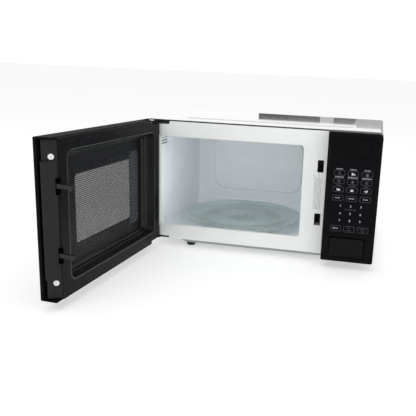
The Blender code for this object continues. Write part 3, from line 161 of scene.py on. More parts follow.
SMOOTH = {"spread": 0.10, "bump": 0.01, "rough_spread": 0.02}
SPANGLE = {"scale": 90.0, "pattern": "spangle"}
LOOKS = {
    # Painted and plated sheet
    "cover": surface("cover_enamel", (0.78, 0.79, 0.79), 0.08, spread=0.02, scale=18.0, grain=300.0,
                     bump=0.006, rough_spread=0.02, Coat_Weight=1.0, Coat_Roughness=0.03, Coat_IOR=1.7),
    "plate": surface("plate_enamel", (0.865, 0.89, 0.88), 0.34, spread=0.02, scale=20.0, grain=700.0),
    "cavity": surface("cavity_enamel", (0.79, 0.82, 0.85), 0.36, spread=0.03, scale=30.0, grain=800.0),
    "zinc": surface("zinc_sheet", (0.56, 0.59, 0.58), 0.38, 0.9, spread=0.10, **SPANGLE),
    "base_zinc": surface("base_sheet", (0.33, 0.37, 0.355), 0.42, 0.5, spread=0.08, **SPANGLE),
    "dark_steel": surface("black_steel", (0.008, 0.008, 0.009), 0.36, 0.1, grain=1200.0,
                          Specular_IOR_Level=0.12),
    "screen": surface("screen_steel", (0.012, 0.012, 0.014), 0.40, 0.1, grain=1500.0, Specular_IOR_Level=0.4),
    "bright_steel": surface("bright_steel", (0.62, 0.62, 0.63), 0.24, 1.0, spread=0.06, scale=200.0),
    "spring": surface("spring_wire", (0.42, 0.42, 0.44), 0.30, 1.0, scale=300.0, grain=2500.0),
    "white_screw": surface("screw_paint", (0.80, 0.81, 0.81), 0.32, scale=300.0),
    # Black mouldings
    "door": surface("door_moulding", (0.005, 0.005, 0.006), 0.26, spread=0.15, grain=2600.0, bump=0.02,
                    rough_spread=0.02, Specular_IOR_Level=0.06),
    "door_skin": surface("door_skin_moulding", (0.005, 0.005, 0.006), 0.55, spread=0.15, grain=2600.0,
                         bump=0.02, Specular_IOR_Level=0.03),
    "recess": surface("recess_moulding", (0.013, 0.013, 0.012), 0.20, spread=0.15, grain=2600.0, bump=0.01,
                      rough_spread=0.02, Specular_IOR_Level=0.22),
    # A lighter copy of the black moulding: painted highlight on the bead round the door's recess.
    "rim": surface("recess_lip_painted_highlight", (0.035, 0.035, 0.036), 0.16, grain=1500.0, **SMOOTH),
    "door_end": surface("door_end_moulding", (0.014, 0.014, 0.015), 0.46, spread=0.12, grain=3000.0,
                        Specular_IOR_Level=0.18),
    "panel": surface("panel_moulding", (0.0035, 0.0035, 0.004), 0.36, spread=0.15, grain=2400.0, bump=0.03,
                     rough_spread=0.03, Specular_IOR_Level=0.06),
    "button": surface("button_moulding", (0.004, 0.004, 0.005), 0.30, spread=0.15, grain=2400.0, bump=0.03,
                      rough_spread=0.03, Specular_IOR_Level=0.09),
    "hook": surface("hook_acetal", (0.006, 0.006, 0.007), 0.14, spread=0.12, grain=1600.0, bump=0.01,
                    rough_spread=0.02, Specular_IOR_Level=0.35),
    # Keypad, prints and display
    "film": surface("keypad_film", (0.0030, 0.0030, 0.0046), 0.22, grain=1800.0,
                    Specular_IOR_Level=0.05, **SMOOTH),
    "print_dim": surface("legend_print_grey", (0.085, 0.09, 0.10), 0.50, spread=0.20, scale=400.0),
    "print_bright": surface("legend_print_white", (0.58, 0.60, 0.63), 0.50, spread=0.15, scale=400.0),
    "print_plate": surface("plate_print", (0.30, 0.31, 0.32), 0.50, spread=0.25, scale=300.0),
    "lens": surface("display_lens", (0.0028, 0.0028, 0.0036), 0.12, grain=300.0,
                    Specular_IOR_Level=0.05, **SMOOTH),
    "digits_off": surface("display_body", (0.05, 0.052, 0.055), 0.42, grain=1500.0),
    # Glass and clear film
    "pane": surface("door_pane", (0.010, 0.010, 0.012), 0.05, rough_spread=0.02, grain=60.0, bump=0.01,
                    Specular_IOR_Level=0.30, Alpha=0.30),
    # The window film's base colour is painted reflection: further down it is replaced by a gradient, painted
    # lighter at the hinge-side margin.
    "clear_film": surface("window_film", (0.24, 0.28, 0.33), 0.06, grain=500.0, bump=0.0, rough_spread=0.005,
                          Specular_IOR_Level=0.24, Alpha=0.07),
    "tray": surface("tray_glass", (0.74, 0.90, 0.88), 0.015, spread=0.02, rough_spread=0.01, grain=160.0,
                    bump=0.01, Transmission_Weight=0.95, IOR=1.48, Alpha=0.66),
    "bulb": surface("lamp_glass", (0.93, 0.93, 0.90), 0.05, spread=0.02, Transmission_Weight=1.0, IOR=1.45),
    # Pale plastics, rubber and the inside of the component bay
    "nylon": surface("nylon", (0.70, 0.68, 0.61), 0.42, Subsurface_Weight=0.08),
    "switch": surface("phenolic", (0.025, 0.024, 0.024), 0.48, grain=1400.0, bump=0.15),
    "rubber": surface("rubber", (0.012, 0.012, 0.012), 0.72, spread=0.25, grain=1800.0, bump=0.35),
    "board": surface("circuit_board", (0.03, 0.16, 0.06), 0.42, spread=0.25, scale=160.0),
    "copper": surface("winding", (0.50, 0.20, 0.08), 0.34, 0.9, spread=0.2, scale=30.0, grain=60.0, bump=0.4,
                      stretch=(1.0, 1.0, 45.0)),
    "laminations": surface("laminations", (0.20, 0.20, 0.21), 0.45, 0.8, spread=0.25, scale=25.0, grain=40.0,
                           bump=0.4, stretch=(1.0, 60.0, 1.0)),
    "fins": surface("cooling_fins", (0.66, 0.67, 0.68), 0.30, 1.0, spread=0.1, scale=60.0,
                    stretch=(1.0, 1.0, 8.0)),
    "mica": surface("mica_sheet", (0.42, 0.36, 0.26), 0.52, spread=0.30, scale=120.0, pattern="spangle"),
}


# Shapes -----------------------------------------------------------------------------------------
def from_bmesh(bm, outward=True):
    if outward:
        bmesh.ops.recalc_face_normals(bm, faces=bm.faces)
    mesh = bpy.data.meshes.new("shape")
    bm.to_mesh(mesh)
    bm.free()
    obj = bpy.data.objects.new("shape", mesh)
    bpy.context.scene.collection.objects.link(obj)
    return obj


def bake(obj):
    """Apply the modifiers."""
    graph = bpy.context.evaluated_depsgraph_get()
    mesh = bpy.data.meshes.new_from_object(obj.evaluated_get(graph))
    obj.modifiers.clear()
    used = obj.data
    obj.data = mesh
    bpy.data.meshes.remove(used)
    return obj


def joined(shapes):
    """Several shapes as one object, without cutting them."""
    bm = bmesh.new()
    for obj in shapes:
        bm.from_mesh(obj.data)
        bpy.data.objects.remove(obj, do_unlink=True)
    return from_bmesh(bm, outward=False)


def combine(obj, other, operation):
    modifier = obj.modifiers.new("boolean", "BOOLEAN")
    modifier.operation = operation
    modifier.object = other
    modifier.solver = "EXACT"
    bake(obj)
    bpy.data.objects.remove(other, do_unlink=True)
    return obj


def cut(obj, *tools):
    return combine(obj, joined(tools) if len(tools) > 1 else tools[0], "DIFFERENCE")


def weld(obj, other):
    return combine(obj, other, "UNION")


def rounded(obj, width, segments=3, angle=35):
    modifier = obj.modifiers.new("bevel", "BEVEL")
    modifier.width = width
    modifier.segments = segments
    modifier.limit_method = "ANGLE"
    modifier.angle_limit = math.radians(angle)
    modifier.use_clamp_overlap = True
    return bake(obj)


def box(low, high):
    low, high = Vector(low), Vector(high)
    bm = bmesh.new()
    bmesh.ops.create_cube(bm, size=1.0)
    bmesh.ops.scale(bm, vec=high - low, verts=bm.verts)
    bmesh.ops.translate(bm, vec=(low + high) / 2, verts=bm.verts)
    return from_bmesh(bm)


def rod(start, end, radius, sides=32, end_radius=None):
    start, end = Vector(start), Vector(end)
    along = end - start
    bm = bmesh.new()
    bmesh.ops.create_cone(bm, cap_ends=True, segments=sides, radius1=radius,
                          radius2=radius if end_radius is None else end_radius, depth=along.length)
    bmesh.ops.rotate(bm, cent=(0, 0, 0), matrix=along.to_track_quat("Z", "Y").to_matrix(), verts=bm.verts)
    bmesh.ops.translate(bm, vec=(start + end) / 2, verts=bm.verts)
    return from_bmesh(bm)


def arc(centre, reach, start, sweep, steps):
    """Points on a circle, from start degrees on through sweep degrees."""
    angles = [math.radians(start + sweep * step / steps) for step in range(steps + 1)]
    return [(centre[0] + reach * math.cos(angle), centre[1] + reach * math.sin(angle)) for angle in angles]


def corners(low, high, radius, steps=6):
    """Corner-rounded rectangle, anticlockwise. radius is one number or (upper right, upper left,
    lower left, lower right)."""
    radii = radius if isinstance(radius, tuple) else (radius,) * 4
    spots = (
        (high[0] - radii[0], high[1] - radii[0]),
        (low[0] + radii[1], high[1] - radii[1]),
        (low[0] + radii[2], low[1] + radii[2]),
        (high[0] - radii[3], low[1] + radii[3]),
    )
    points = []
    for quarter, (centre, reach) in enumerate(zip(spots, radii)):
        points += arc(centre, reach, 90.0 * quarter, 90.0, steps)
    return points


def grown(low, high, amount):
    return (low[0] - amount, low[1] - amount), (high[0] + amount, high[1] + amount)


AXES = {
    "X": lambda u, v, level: (level, u, v),
    "Y": lambda u, v, level: (u, level, v),
    "Z": lambda u, v, level: (u, v, level),
}


def loft(loops, axis="Y", start_cap=False, end_cap=False, ring=False, outward=True):
    """Skin over outlines that all have the same number of points. A loop is (outline, level)."""
    bm = bmesh.new()
    rows = [[bm.verts.new(AXES[axis](u, v, level)) for u, v in outline] for outline, level in loops]
    count = len(rows[0])
    pairs = list(zip(rows, rows[1:]))
    if ring:
        pairs.append((rows[-1], rows[0]))
    for first, second in pairs:
        for index in range(count):
            after = (index + 1) % count
            bm.faces.new((first[index], first[after], second[after], second[index]))
    if start_cap:
        bm.faces.new(list(reversed(rows[0])))
    if end_cap:
        bm.faces.new(rows[-1])
    bmesh.ops.remove_doubles(bm, verts=bm.verts, dist=0.000005)
    return from_bmesh(bm, outward)


def prism(outline, low, high, axis="Y"):
    return loft(((outline, low), (outline, high)), axis, start_cap=True, end_cap=True)


def frame_of(outer, inner, low, high, axis="Y"):
    """A flat ring between two outlines of the same number of points."""
    return loft(((outer, low), (outer, high), (inner, high), (inner, low)), axis, ring=True)


def turned(profile, origin, direction=(0, 0, 1), steps=64, closed=False):
    """A profile of (radius, height) points turned about an axis through origin."""
    bm = bmesh.new()
    rows = []
    for step in range(steps):
        angle = 2 * math.pi * step / steps
        rows.append([bm.verts.new((radius * math.cos(angle), radius * math.sin(angle), height))
                     for radius, height in profile])
    spans = len(profile) - (0 if closed else 1)
    for first, second in zip(rows, rows[1:] + rows[:1]):
        for index in range(spans):
            after = (index + 1) % len(profile)
            bm.faces.new((first[index], first[after], second[after], second[index]))
    bmesh.ops.remove_doubles(bm, verts=bm.verts, dist=0.000005)
    matrix = Vector(direction).to_track_quat("Z", "Y").to_matrix()
    bmesh.ops.rotate(bm, cent=(0, 0, 0), matrix=matrix, verts=bm.verts)
    bmesh.ops.translate(bm, vec=Vector(origin), verts=bm.verts)
    return from_bmesh(bm)


def fillet(inset, depth, radius, steps=4):
    """(inset, depth) pairs of a quarter round that starts flat and turns down into a wall."""
    pairs = []
    for step in range(steps + 1):
        angle = math.radians(90.0 * step / steps)
        pairs.append((inset - radius * (1 - math.sin(angle)), depth + radius * (1 - math.cos(angle))))
    return pairs


def smooth(share):
    """An S-curve from 0 to 1, for the slope of a pressed step."""
    return 3 * share ** 2 - 2 * share ** 3


def turn_largest_face(obj, axis, sign):
    """Flip the sheet if its largest face doesn't look along axis (0, 1 or 2) in that sign."""
    if max(obj.data.polygons, key=lambda face: face.area).normal[axis] * sign < 0:
        obj.data.flip_normals()


def slit(middle, half, radius, low, high, axis="Y", steps=4):
    """A round-cornered cutting tool, from the middle and half sizes of its outline."""
    outline = corners((middle[0] - half[0], middle[1] - half[1]), (middle[0] + half[0], middle[1] + half[1]),
                      radius, steps)
    return prism(outline, low, high, axis)


def solid_sheet(obj, thickness, offset):
    modifier = obj.modifiers.new("sheet", "SOLIDIFY")
    modifier.thickness = thickness
    modifier.offset = offset
    modifier.use_even_offset = True
    return bake(obj)


def piece(obj, name, look, body="root", replaces=(), angle=32, weighted=True):
    """Name a shape, give it its look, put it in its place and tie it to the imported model."""
    obj.name = name
    obj.data.name = name
    obj.data.materials.clear()
    obj.data.materials.append(LOOKS[look])
    obj.data.shade_smooth()
    obj.data.set_sharp_from_angle(angle=math.radians(angle))
    obj.data.transform(PLACES.get(body, TO_WORLD))
    if weighted:
        modifier = obj.modifiers.new("normals", "WEIGHTED_NORMAL")
        modifier.keep_sharp = True
    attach(obj, body)
    if replaces:
        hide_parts(*replaces)
    return obj


# Cabinet ----------------------------------------------------------------------------------------
def make_front_plate():
    """Pressed front with a rolled outer edge, a rolled lip round the oven mouth, and latch slots."""
    low, high = (PLATE_EDGE.x, PLATE_EDGE.z), (WIDTH - 0.0012, HEIGHT - 0.0030)
    roll, lip, flange, mouth_depth = 0.0018, 0.0022, 0.0060, 0.0048
    loops = []
    for inset, depth in fillet(0.0, 0.0, roll):
        loops.append((corners(*grown(low, high, inset), 0.0060 + inset), depth))
    loops.append((corners(low, high, 0.0060), flange))
    inner = grown(low, high, -SHEET)
    loops.append((corners(*inner, 0.0052), flange))
    for inset, depth in reversed(fillet(0.0, SHEET, roll - SHEET)):
        loops.append((corners(*grown(*inner, inset), 0.0052 + inset), depth))
    for inset, depth in fillet(0.0, SHEET, lip - SHEET):
        loops.append((corners(*grown(MOUTH_LOW, MOUTH_HIGH, -inset + SHEET), 0.0068 - inset), depth))
    loops.append((corners(*grown(MOUTH_LOW, MOUTH_HIGH, SHEET), 0.0068), mouth_depth))
    loops.append((corners(MOUTH_LOW, MOUTH_HIGH, 0.0060), mouth_depth))
    for inset, depth in reversed(fillet(0.0, 0.0, lip)):
        loops.append((corners(*grown(MOUTH_LOW, MOUTH_HIGH, -inset), 0.0060 - inset), depth))
    plate = loft(loops, ring=True)
    near, far = -0.005, 0.005
    tools = [slit((0.34075, level), (0.00575, 0.0115), 0.0015, near, far, steps=3) for level in LATCH_LEVELS]
    tools.append(box((0.3720, near, 0.0120), (0.4280, far, 0.0420)))
    tools.append(box((0.3650, near, 0.0600), (0.4400, far, 0.2250)))
    cut(plate, *tools)
    hinge_left, hinge_right = 0.0066, 0.0444
    cut(plate, prism(corners((hinge_left, 0.0031), (hinge_right, 0.0070), 0.0012, 3), near, far),
        prism(corners((hinge_left, 0.2312), (hinge_right, 0.2500), 0.0030, 4), near, 0.02))
    piece(plate, "front_plate_pressing", "plate", replaces=("front_plate",))
    make_plate_print()


def make_plate_print():
    """Faint ruled strokes between the latch slots, in place of small print."""
    first, pitch, width, space = 0.3310, 0.0024, 0.00080, 0.0009
    bottom, top = 0.0885, 0.1530
    strokes = []
    for column in range(6):
        x = first + pitch * column
        level = bottom
        index = 0
        while level < top - 0.004 * (column % 3):
            length = 0.0020 + 0.0011 * ((index * 5 + column * 3) % 4)
            strokes.append(box((x, -0.00006, level), (x + width, 0.00002, level + length)))
            level += length + space
            index += 1
    piece(joined(strokes), "plate_small_print", "print_plate", weighted=False)


def make_outer_cover():
    """Wrap-round cover: one bent sheet with a raised field in its top and vents in its sides."""
    front, back, fold = 0.0012, DEPTH, 0.0060
    top = HEIGHT + 0.0003
    bm = bmesh.new()
    profile = [(0.0, -0.0002), (0.0, top - fold)]
    for step in range(1, 9):
        angle = math.radians(90.0 * step / 8)
        profile.append((fold * (1 - math.cos(angle)), top - fold + fold * math.sin(angle)))
    for side in (0, 1):
        rows = []
        for y in (front, back):
            rows.append([bm.verts.new((WIDTH - x if side else x, y, z)) for x, z in profile])
        for index in range(len(profile) - 1):
            bm.faces.new((rows[0][index], rows[1][index], rows[1][index + 1], rows[0][index + 1]))
    low, high = (fold, front), (WIDTH - fold, back)
    field_low, field_high = (0.0530, 0.0530), (0.3970, 0.2420)
    tiny, run, rise = 0.000001, 0.0060, 0.0014
    rows = [(corners(low, high, tiny), top), (corners(field_low, field_high, 0.0160), top)]
    for step in range(1, 7):
        share = step / 6
        outline = corners(*grown(field_low, field_high, -run * share), 0.0160 - run * share)
        rows.append((outline, top + rise * smooth(share)))
    rings = [[bm.verts.new((u, v, level)) for u, v in outline] for outline, level in rows]
    for first, second in zip(rings, rings[1:]):
        for index in range(len(first)):
            after = (index + 1) % len(first)
            bm.faces.new((first[index], first[after], second[after], second[index]))
    bm.faces.new(rings[-1])
    bmesh.ops.remove_doubles(bm, verts=bm.verts, dist=0.00002)
    bmesh.ops.dissolve_degenerate(bm, edges=bm.edges, dist=0.00001)
    cover = from_bmesh(bm)
    turn_largest_face(cover, 2, 1)
    solid_sheet(cover, SHEET, -1.0)
    tools = []
    for x in (-0.01, WIDTH - 0.01):
        for row_y, row_z, half_length, count in ((0.150, 0.100, 0.0275, 10), (0.060, 0.200, 0.011, 8)):
            for index in range(count):
                middle = (row_y + 0.009 * index, row_z)
                tools.append(slit(middle, (0.00175, half_length), 0.0017, x, x + 0.02, "X"))
    cut(cover, *tools)
    piece(cover, "cover_wrap", "cover", replaces=("outer_cover",), angle=25)


def screw_head(origin, direction, radius, height, reach=0.0, sides=32):
    """Pan head with a cross recess, standing on origin."""
    profile = [(0.0, height)]
    for step in range(7):
        angle = math.radians(15.0 + 75.0 * step / 6)
        profile.append((radius * math.sin(angle), height * 0.25 + height * 0.75 * math.cos(angle)))
    profile += [(radius, 0.0), (radius * 0.5, -reach), (0.0, -reach)]
    head = turned(profile, origin, direction, sides)
    side = direction.orthogonal().normalized()
    other = direction.cross(side).normalized()
    tools = []
    for along, across in ((side, other), (other, side)):
        bm = bmesh.new()
        bmesh.ops.create_cube(bm, size=1.0)
        turn = Matrix((along, across, direction)).transposed().to_4x4()
        size = Matrix.Diagonal((radius * 1.1, radius * 0.24, height * 1.2, 1.0))
        middle = Matrix.Translation(Vector(origin) + direction * height * 0.95)
        bmesh.ops.transform(bm, matrix=middle @ turn @ size, verts=bm.verts)
        tools.append(from_bmesh(bm))
    for tool in tools:
        cut(head, tool)
    return head


def make_base_plate():
    """Bottom pan with a sunken field whose left ramp shows under the front plate, ribs and vents."""
    low, high = (0.0014, 0.0100), (WIDTH - 0.0014, DEPTH - 0.0026)
    top, drop = -0.0005, 0.0070
    field_low, field_high = (0.0560, 0.0115), (0.4360, 0.2680)
    floor_low, floor_high = (0.0740, 0.0175), (0.4300, 0.2620)
    loops = [
        (corners(low, high, 0.0040), 0.0075), (corners(low, high, 0.0040), top + 0.0012),
        (corners(*grown(low, high, -0.0004), 0.0036), top + 0.0004),
        (corners(*grown(low, high, -0.0012), 0.0030), top),
        (corners(field_low, field_high, 0.0080), top),
    ]
    for share in (0.08, 0.25, 0.5, 0.75, 0.92, 1.0):
        mixed = [(a[0] + (b[0] - a[0]) * share, a[1] + (b[1] - a[1]) * share)
                 for a, b in ((field_low, floor_low), (field_high, floor_high))]
        loops.append((corners(*mixed, 0.0080 - 0.003 * share), top - drop * smooth(share)))
    rib_low, rib_high = (0.1050, 0.0400), (0.3300, 0.2400)
    floor = top - drop
    loops.append((corners(rib_low, rib_high, 0.0140), floor))
    loops.append((corners(*grown(rib_low, rib_high, -0.0030), 0.0110), floor + 0.0016))
    pan = loft(loops, "Z", end_cap=True, outward=False)
    turn_largest_face(pan, 2, -1)
    solid_sheet(pan, SHEET, -1.0)
    tools = [slit((0.352 + 0.009 * index, 0.070), (0.002, 0.025), 0.0019, -0.02, 0.02, "Z")
             for index in range(8)]
    tools += [slit((0.1215, 0.110 + 0.010 * index), (0.0075, 0.002), 0.0019, -0.02, 0.02, "Z")
              for index in range(6)]
    cut(pan, *tools)
    piece(pan, "base_pan", "base_zinc", replaces=("base_plate",))


def make_rear_panel():
    """Back panel with a domed field, rows of exhaust slots, small embosses and the inlet hole."""
    seat, rear = DEPTH - 0.0004, DEPTH + 0.0120
    low, high = (0.0012, 0.0012), (WIDTH - 0.0012, HEIGHT - 0.0014)
    dome_low, dome_high = (0.0280, 0.0180), (0.3120, 0.2170)
    upper = (0.0060, 0.0060, 0.0006, 0.0006)
    loops = [(corners(low, high, upper), seat), (corners(dome_low, dome_high, 0.0140), seat)]
    for share in (0.1, 0.3, 0.5, 0.7, 0.9, 1.0):
        outline = corners(*grown(dome_low, dome_high, -0.0070 * share), 0.0140 - 0.0050 * share)
        loops.append((outline, seat + (rear - seat) * smooth(share)))
    inner_low, inner_high = (0.0700, 0.0550), (0.2700, 0.1800)
    loops.append((corners(inner_low, inner_high, 0.0180), rear))
    loops.append((corners(*grown(inner_low, inner_high, -0.0025), 0.0155), rear - 0.0015))
    panel = loft(loops, "Y", end_cap=True, outward=False)
    turn_largest_face(panel, 1, 1)
    solid_sheet(panel, SHEET, -1.0)
    near, far = seat - 0.01, seat + 0.01
    tools = []
    for level, half_length, count in ((0.175, 0.030, 9), (0.105, 0.020, 6)):
        for index in range(count):
            tools.append(slit((0.345 + 0.0095 * index, level), (0.002, half_length), 0.0019, near, far))
    tools.append(rod((0.420, near, 0.045), (0.420, far, 0.045), 0.0083, 48))
    cut(panel, *tools)
    piece(panel, "rear_pressing", "zinc", replaces=("rear_panel",))
    places = ((0.0120, 0.2300), (0.2250, 0.2300), (0.4370, 0.2300), (0.0120, 0.0100), (0.4370, 0.0100))
    shapes = [screw_head(Vector((x, seat, z)), Vector((0, 1, 0)), 0.0036, 0.0017) for x, z in places]
    piece(joined(shapes), "rear_screws", "bright_steel")


def make_cord_inlet():
    """Ribbed rubber gland in the back panel; no lead is fitted."""
    profile = [(0.0080, 0.0), (0.0045, 0.0), (0.0045, 0.0200), (0.0060, 0.0200)]
    for step in range(8):
        share = step / 7
        bulge = 0.0004 if step % 2 else 0.0
        profile.append((0.0066 + 0.0034 * share ** 1.4 + bulge, 0.0192 - 0.0062 * share))
    profile += [(0.0105, 0.0128), (0.0105, 0.0104), (0.0101, 0.0102), (0.0080, 0.0102)]
    gland = turned(profile, (0.4200, DEPTH - 0.0100, 0.0450), (0, 1, 0), 64, closed=True)
    piece(gland, "cord_gland", "rubber", replaces=("cord_inlet",))


def make_feet():
    """Moulded feet with a domed edge and a screw well underneath."""
    top, bottom = -0.0078, -0.0150
    for name in ("foot_front_left", "foot_front_right", "foot_rear_left", "foot_rear_right"):
        low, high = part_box(name)
        centre = (low + high) / 2 - ORIGIN
        profile = [(0.0, top), (0.0092, top), (0.0095, top - 0.0004), (0.0095, top - 0.0016),
                   (0.0090, top - 0.0022)]
        for step in range(6):
            angle = math.radians(18.0 * step)
            profile.append((0.0070 + 0.0016 * math.cos(angle), bottom + 0.0016 - 0.0016 * math.sin(angle)))
        profile += [(0.0036, bottom), (0.0032, bottom + 0.0006), (0.0030, bottom + 0.0035),
                    (0.0, bottom + 0.0035)]
        foot = turned(profile, (centre.x, centre.y, 0.0), steps=48)
        piece(foot, name + "_moulding", "rubber", replaces=(name,))


def back_outline(side, below, radius):
    """An outline on the cavity's back wall, set in from its sides and from its floor and roof."""
    low = (CAVITY_LOW[0] + side, CAVITY_LOW[1] + below)
    high = (CAVITY_HIGH[0] - side, CAVITY_HIGH[1] - below * 0.6)
    return corners(low, high, radius, 8)


def cavity_loops():
    """The front band, the walls, the bend into the back wall, and the back wall's two pressed steps."""
    front, band_end, bend = 0.0013, 0.0300, 0.0150
    side, below, rim_depth, field_depth = 0.0045, 0.0225, 0.0022, 0.0034
    walls = (
        (front, -0.0008, 0.0110), (band_end, -0.0008, 0.0110), (0.0310, -0.0006, 0.0112),
        (0.0325, -0.0001, 0.0118), (0.0335, 0.0, 0.0120), (CAVITY_BACK - bend, 0.0, 0.0120),
    )
    loops = [(corners(*grown(CAVITY_LOW, CAVITY_HIGH, inset), radius, 8), level)
             for level, inset, radius in walls]
    for step in range(1, 10):
        angle = math.radians(90.0 * step / 9)
        turn = 1 - math.cos(angle)
        loops.append((back_outline(side * turn, below * turn, 0.0120 + 0.0200 * turn),
                      CAVITY_BACK - bend + (bend - rim_depth) * math.sin(angle)))
    for share in (0.3, 0.7, 1.0):
        loops.append((back_outline(side + 0.0012 * share, below + 0.0012 * share, 0.0320),
                      CAVITY_BACK - rim_depth + rim_depth * smooth(share)))
    for share in (0.0, 0.15, 0.4, 0.6, 0.85, 1.0):
        outline = back_outline(0.0385 + 0.0040 * share, 0.0465 + 0.0040 * share, 0.0300 - 0.0030 * share)
        loops.append((outline, CAVITY_BACK - field_depth * smooth(share)))
    return loops


def cavity_openings():
    """Slits near the front, air vents, small holes, the wave port, the motor shaft and the lamp port."""
    left_side, right_side = (0.0100, 0.0300), (0.305, 0.320)
    tools = [slit((0.034, 0.190 + 0.0055 * index), (0.018, 0.0011), 0.0010, *left_side, "X", 3)
             for index in range(3)]
    tools += [slit((0.045, 0.165 + 0.008 * index), (0.015, 0.0012), 0.0011, *right_side, "X", 3)
              for index in range(5)]
    tools += [rod((0.010, 0.1210, level), (0.030, 0.1210, level), 0.0016, 20) for level in (0.163, 0.101)]
    tools.append(slit((0.160, 0.150), (0.030, 0.030), 0.004, 0.308, 0.318, "X"))
    tools.append(rod((TRAY.x, TRAY.y, -0.001), (TRAY.x, TRAY.y, 0.019), 0.0045, 32))
    tools.append(rod((0.303, 0.215, 0.190), (0.323, 0.215, 0.190), 0.0085, 40))
    return tools


def make_cavity():
    """Oven liner: one rounded box, open at the front."""
    liner = loft(cavity_loops(), "Y", end_cap=True, outward=False)
    end = max(liner.data.polygons, key=lambda face: face.center.y)
    if end.normal.y > 0:
        liner.data.flip_normals()
    solid_sheet(liner, 0.0009, -1.0)
    cut(liner, *cavity_openings())
    piece(liner, "cavity_liner", "cavity", replaces=("cavity_shell",), angle=40)
    # The front band takes the front plate's white, the plate's flange turned into the mouth. The sloping
    # faces of the back wall's pressed steps take it too, as painted highlight lines.
    liner.data.materials.append(LOOKS["plate"])
    band = ORIGIN.y + 0.0312
    pressed = ORIGIN.y + CAVITY_BACK - 0.0036
    for face in liner.data.polygons:
        if face.center.y < band or (face.center.y > pressed and abs(face.normal.y) < 0.96):
            face.material_index = 1
    make_cavity_details()


def make_cavity_details():
    """Two low beads on the floor, either side of the rollers' track."""
    bead = ((-0.0016, 0.0), (-0.0010, 0.0003), (0.0, 0.00045), (0.0010, 0.0003), (0.0016, 0.0))
    shapes = []
    for radius in (0.0780, 0.1000):
        profile = [(radius + offset, rise) for offset, rise in bead]
        shapes.append(turned(profile, (TRAY.x, TRAY.y, CAVITY_LOW[1]), steps=96, closed=True))
    piece(joined(shapes), "floor_track_beads", "cavity", angle=60)


# Turntable --------------------------------------------------------------------------------------
def make_tray():
    """Pressed glass tray: upturned rim, roller groove, three drive dogs and a lobed boss."""
    plate, rim, edge = 0.0045, 0.0103, 0.0014
    radius = TRAY_RADIUS
    shoulder = radius - 0.0160
    profile = [(0.0, plate + 0.0008), (0.0175, plate + 0.0008), (0.0192, plate + 0.0004), (0.0210, plate)]
    ridge = ((0.0, 0.0), (0.12, 0.0003), (0.25, 0.0010), (0.4, 0.0012), (0.6, 0.0012), (0.75, 0.0010),
             (0.88, 0.0003), (1.0, 0.0))
    for share, rise in ridge:
        profile.append((TRACK_RADIUS - 0.0035 + 0.0070 * share, plate + rise))
    profile.append((shoulder, plate))
    for step in range(1, 9):
        angle = math.radians(62.0 * step / 8)
        profile.append((shoulder + 0.0125 * math.sin(angle), plate + 0.0085 * (1 - math.cos(angle))))
    profile += arc((radius - edge, rim - edge), edge, 150.0, -165.0, 6)
    for step in range(9):
        angle = math.radians(58.0 - 58.0 * step / 8)
        profile.append((shoulder + 0.0010 + 0.0130 * math.sin(angle), 0.0075 * (1 - math.cos(angle))))
    profile += [(TRACK_RADIUS + 0.0050, 0.0), (TRACK_RADIUS - 0.0050, 0.0), (0.0, 0.0)]
    tray = turned(profile, TRAY, steps=144)
    lobe = [(0.0042 * math.sin(math.radians(90 - 15 * step)), 0.0016 * math.sin(math.radians(15 * step)))
            for step in range(7)]
    lobe += [(0.0, -0.0010), (0.0042, -0.0010)]
    for index in range(3):
        angle = math.radians(60.0 + 120.0 * index)
        place = TRAY + Vector((math.cos(angle), math.sin(angle), 0.0)) * 0.0120
        dog = rod(place - Vector((0, 0, 0.0040)), place + Vector((0, 0, 0.0020)), 0.0022, 24)
        weld(tray, dog)
        place = TRAY + Vector((math.cos(angle) * 0.0105, math.sin(angle) * 0.0105, plate + 0.0006))
        weld(tray, turned(lobe, place, steps=32, closed=True))
    piece(tray, "turntable_glass", "tray", "glass_tray", ("glass_tray",), weighted=False)


def make_ring():
    """Roller ring of rounded section with three axle arms."""
    middle = CAVITY_LOW[1] + WHEEL_RADIUS
    centre = Vector((TRAY.x, TRAY.y, middle))
    ring = turned(corners((0.0770, -0.0022), (0.0835, 0.0022), 0.0012, 4), centre, steps=120, closed=True)
    arm_end = [(0.0, 0.0954), (0.0010, 0.0953), (0.0016, 0.0946), (0.0016, 0.0930), (0.0, 0.0930)]
    for index in range(3):
        direction = wheel_direction(index)
        weld(ring, rod(centre + direction * 0.0800, centre + direction * 0.0942, 0.0016, 20))
        weld(ring, turned(arm_end, centre, direction, 20))
    piece(ring, "roller_ring_moulding", "nylon", "roller_ring", ("roller_ring",))
    half, bore, web = 0.0025, 0.0020, 0.0019
    profile = [(bore, -half), (bore, half), (0.0036, half), (0.0040, web), (0.0047, web), (0.0050, half),
               (WHEEL_RADIUS - 0.0004, half), (WHEEL_RADIUS, half - 0.0004),
               (WHEEL_RADIUS, -half + 0.0004), (WHEEL_RADIUS - 0.0004, -half),
               (0.0050, -half), (0.0047, -web), (0.0040, -web), (0.0036, -half)]
    for index in range(3):
        direction = wheel_direction(index)
        name = "roller_wheel_%d" % (index + 1)
        wheel = turned(profile, centre + direction * TRACK_RADIUS, direction, 48, closed=True)
        piece(wheel, name + "_moulding", "nylon", name, (name,))


def wheel_direction(index):
    angle = math.radians(-35.0 + 120.0 * index)
    return Vector((math.cos(angle), math.sin(angle), 0.0))


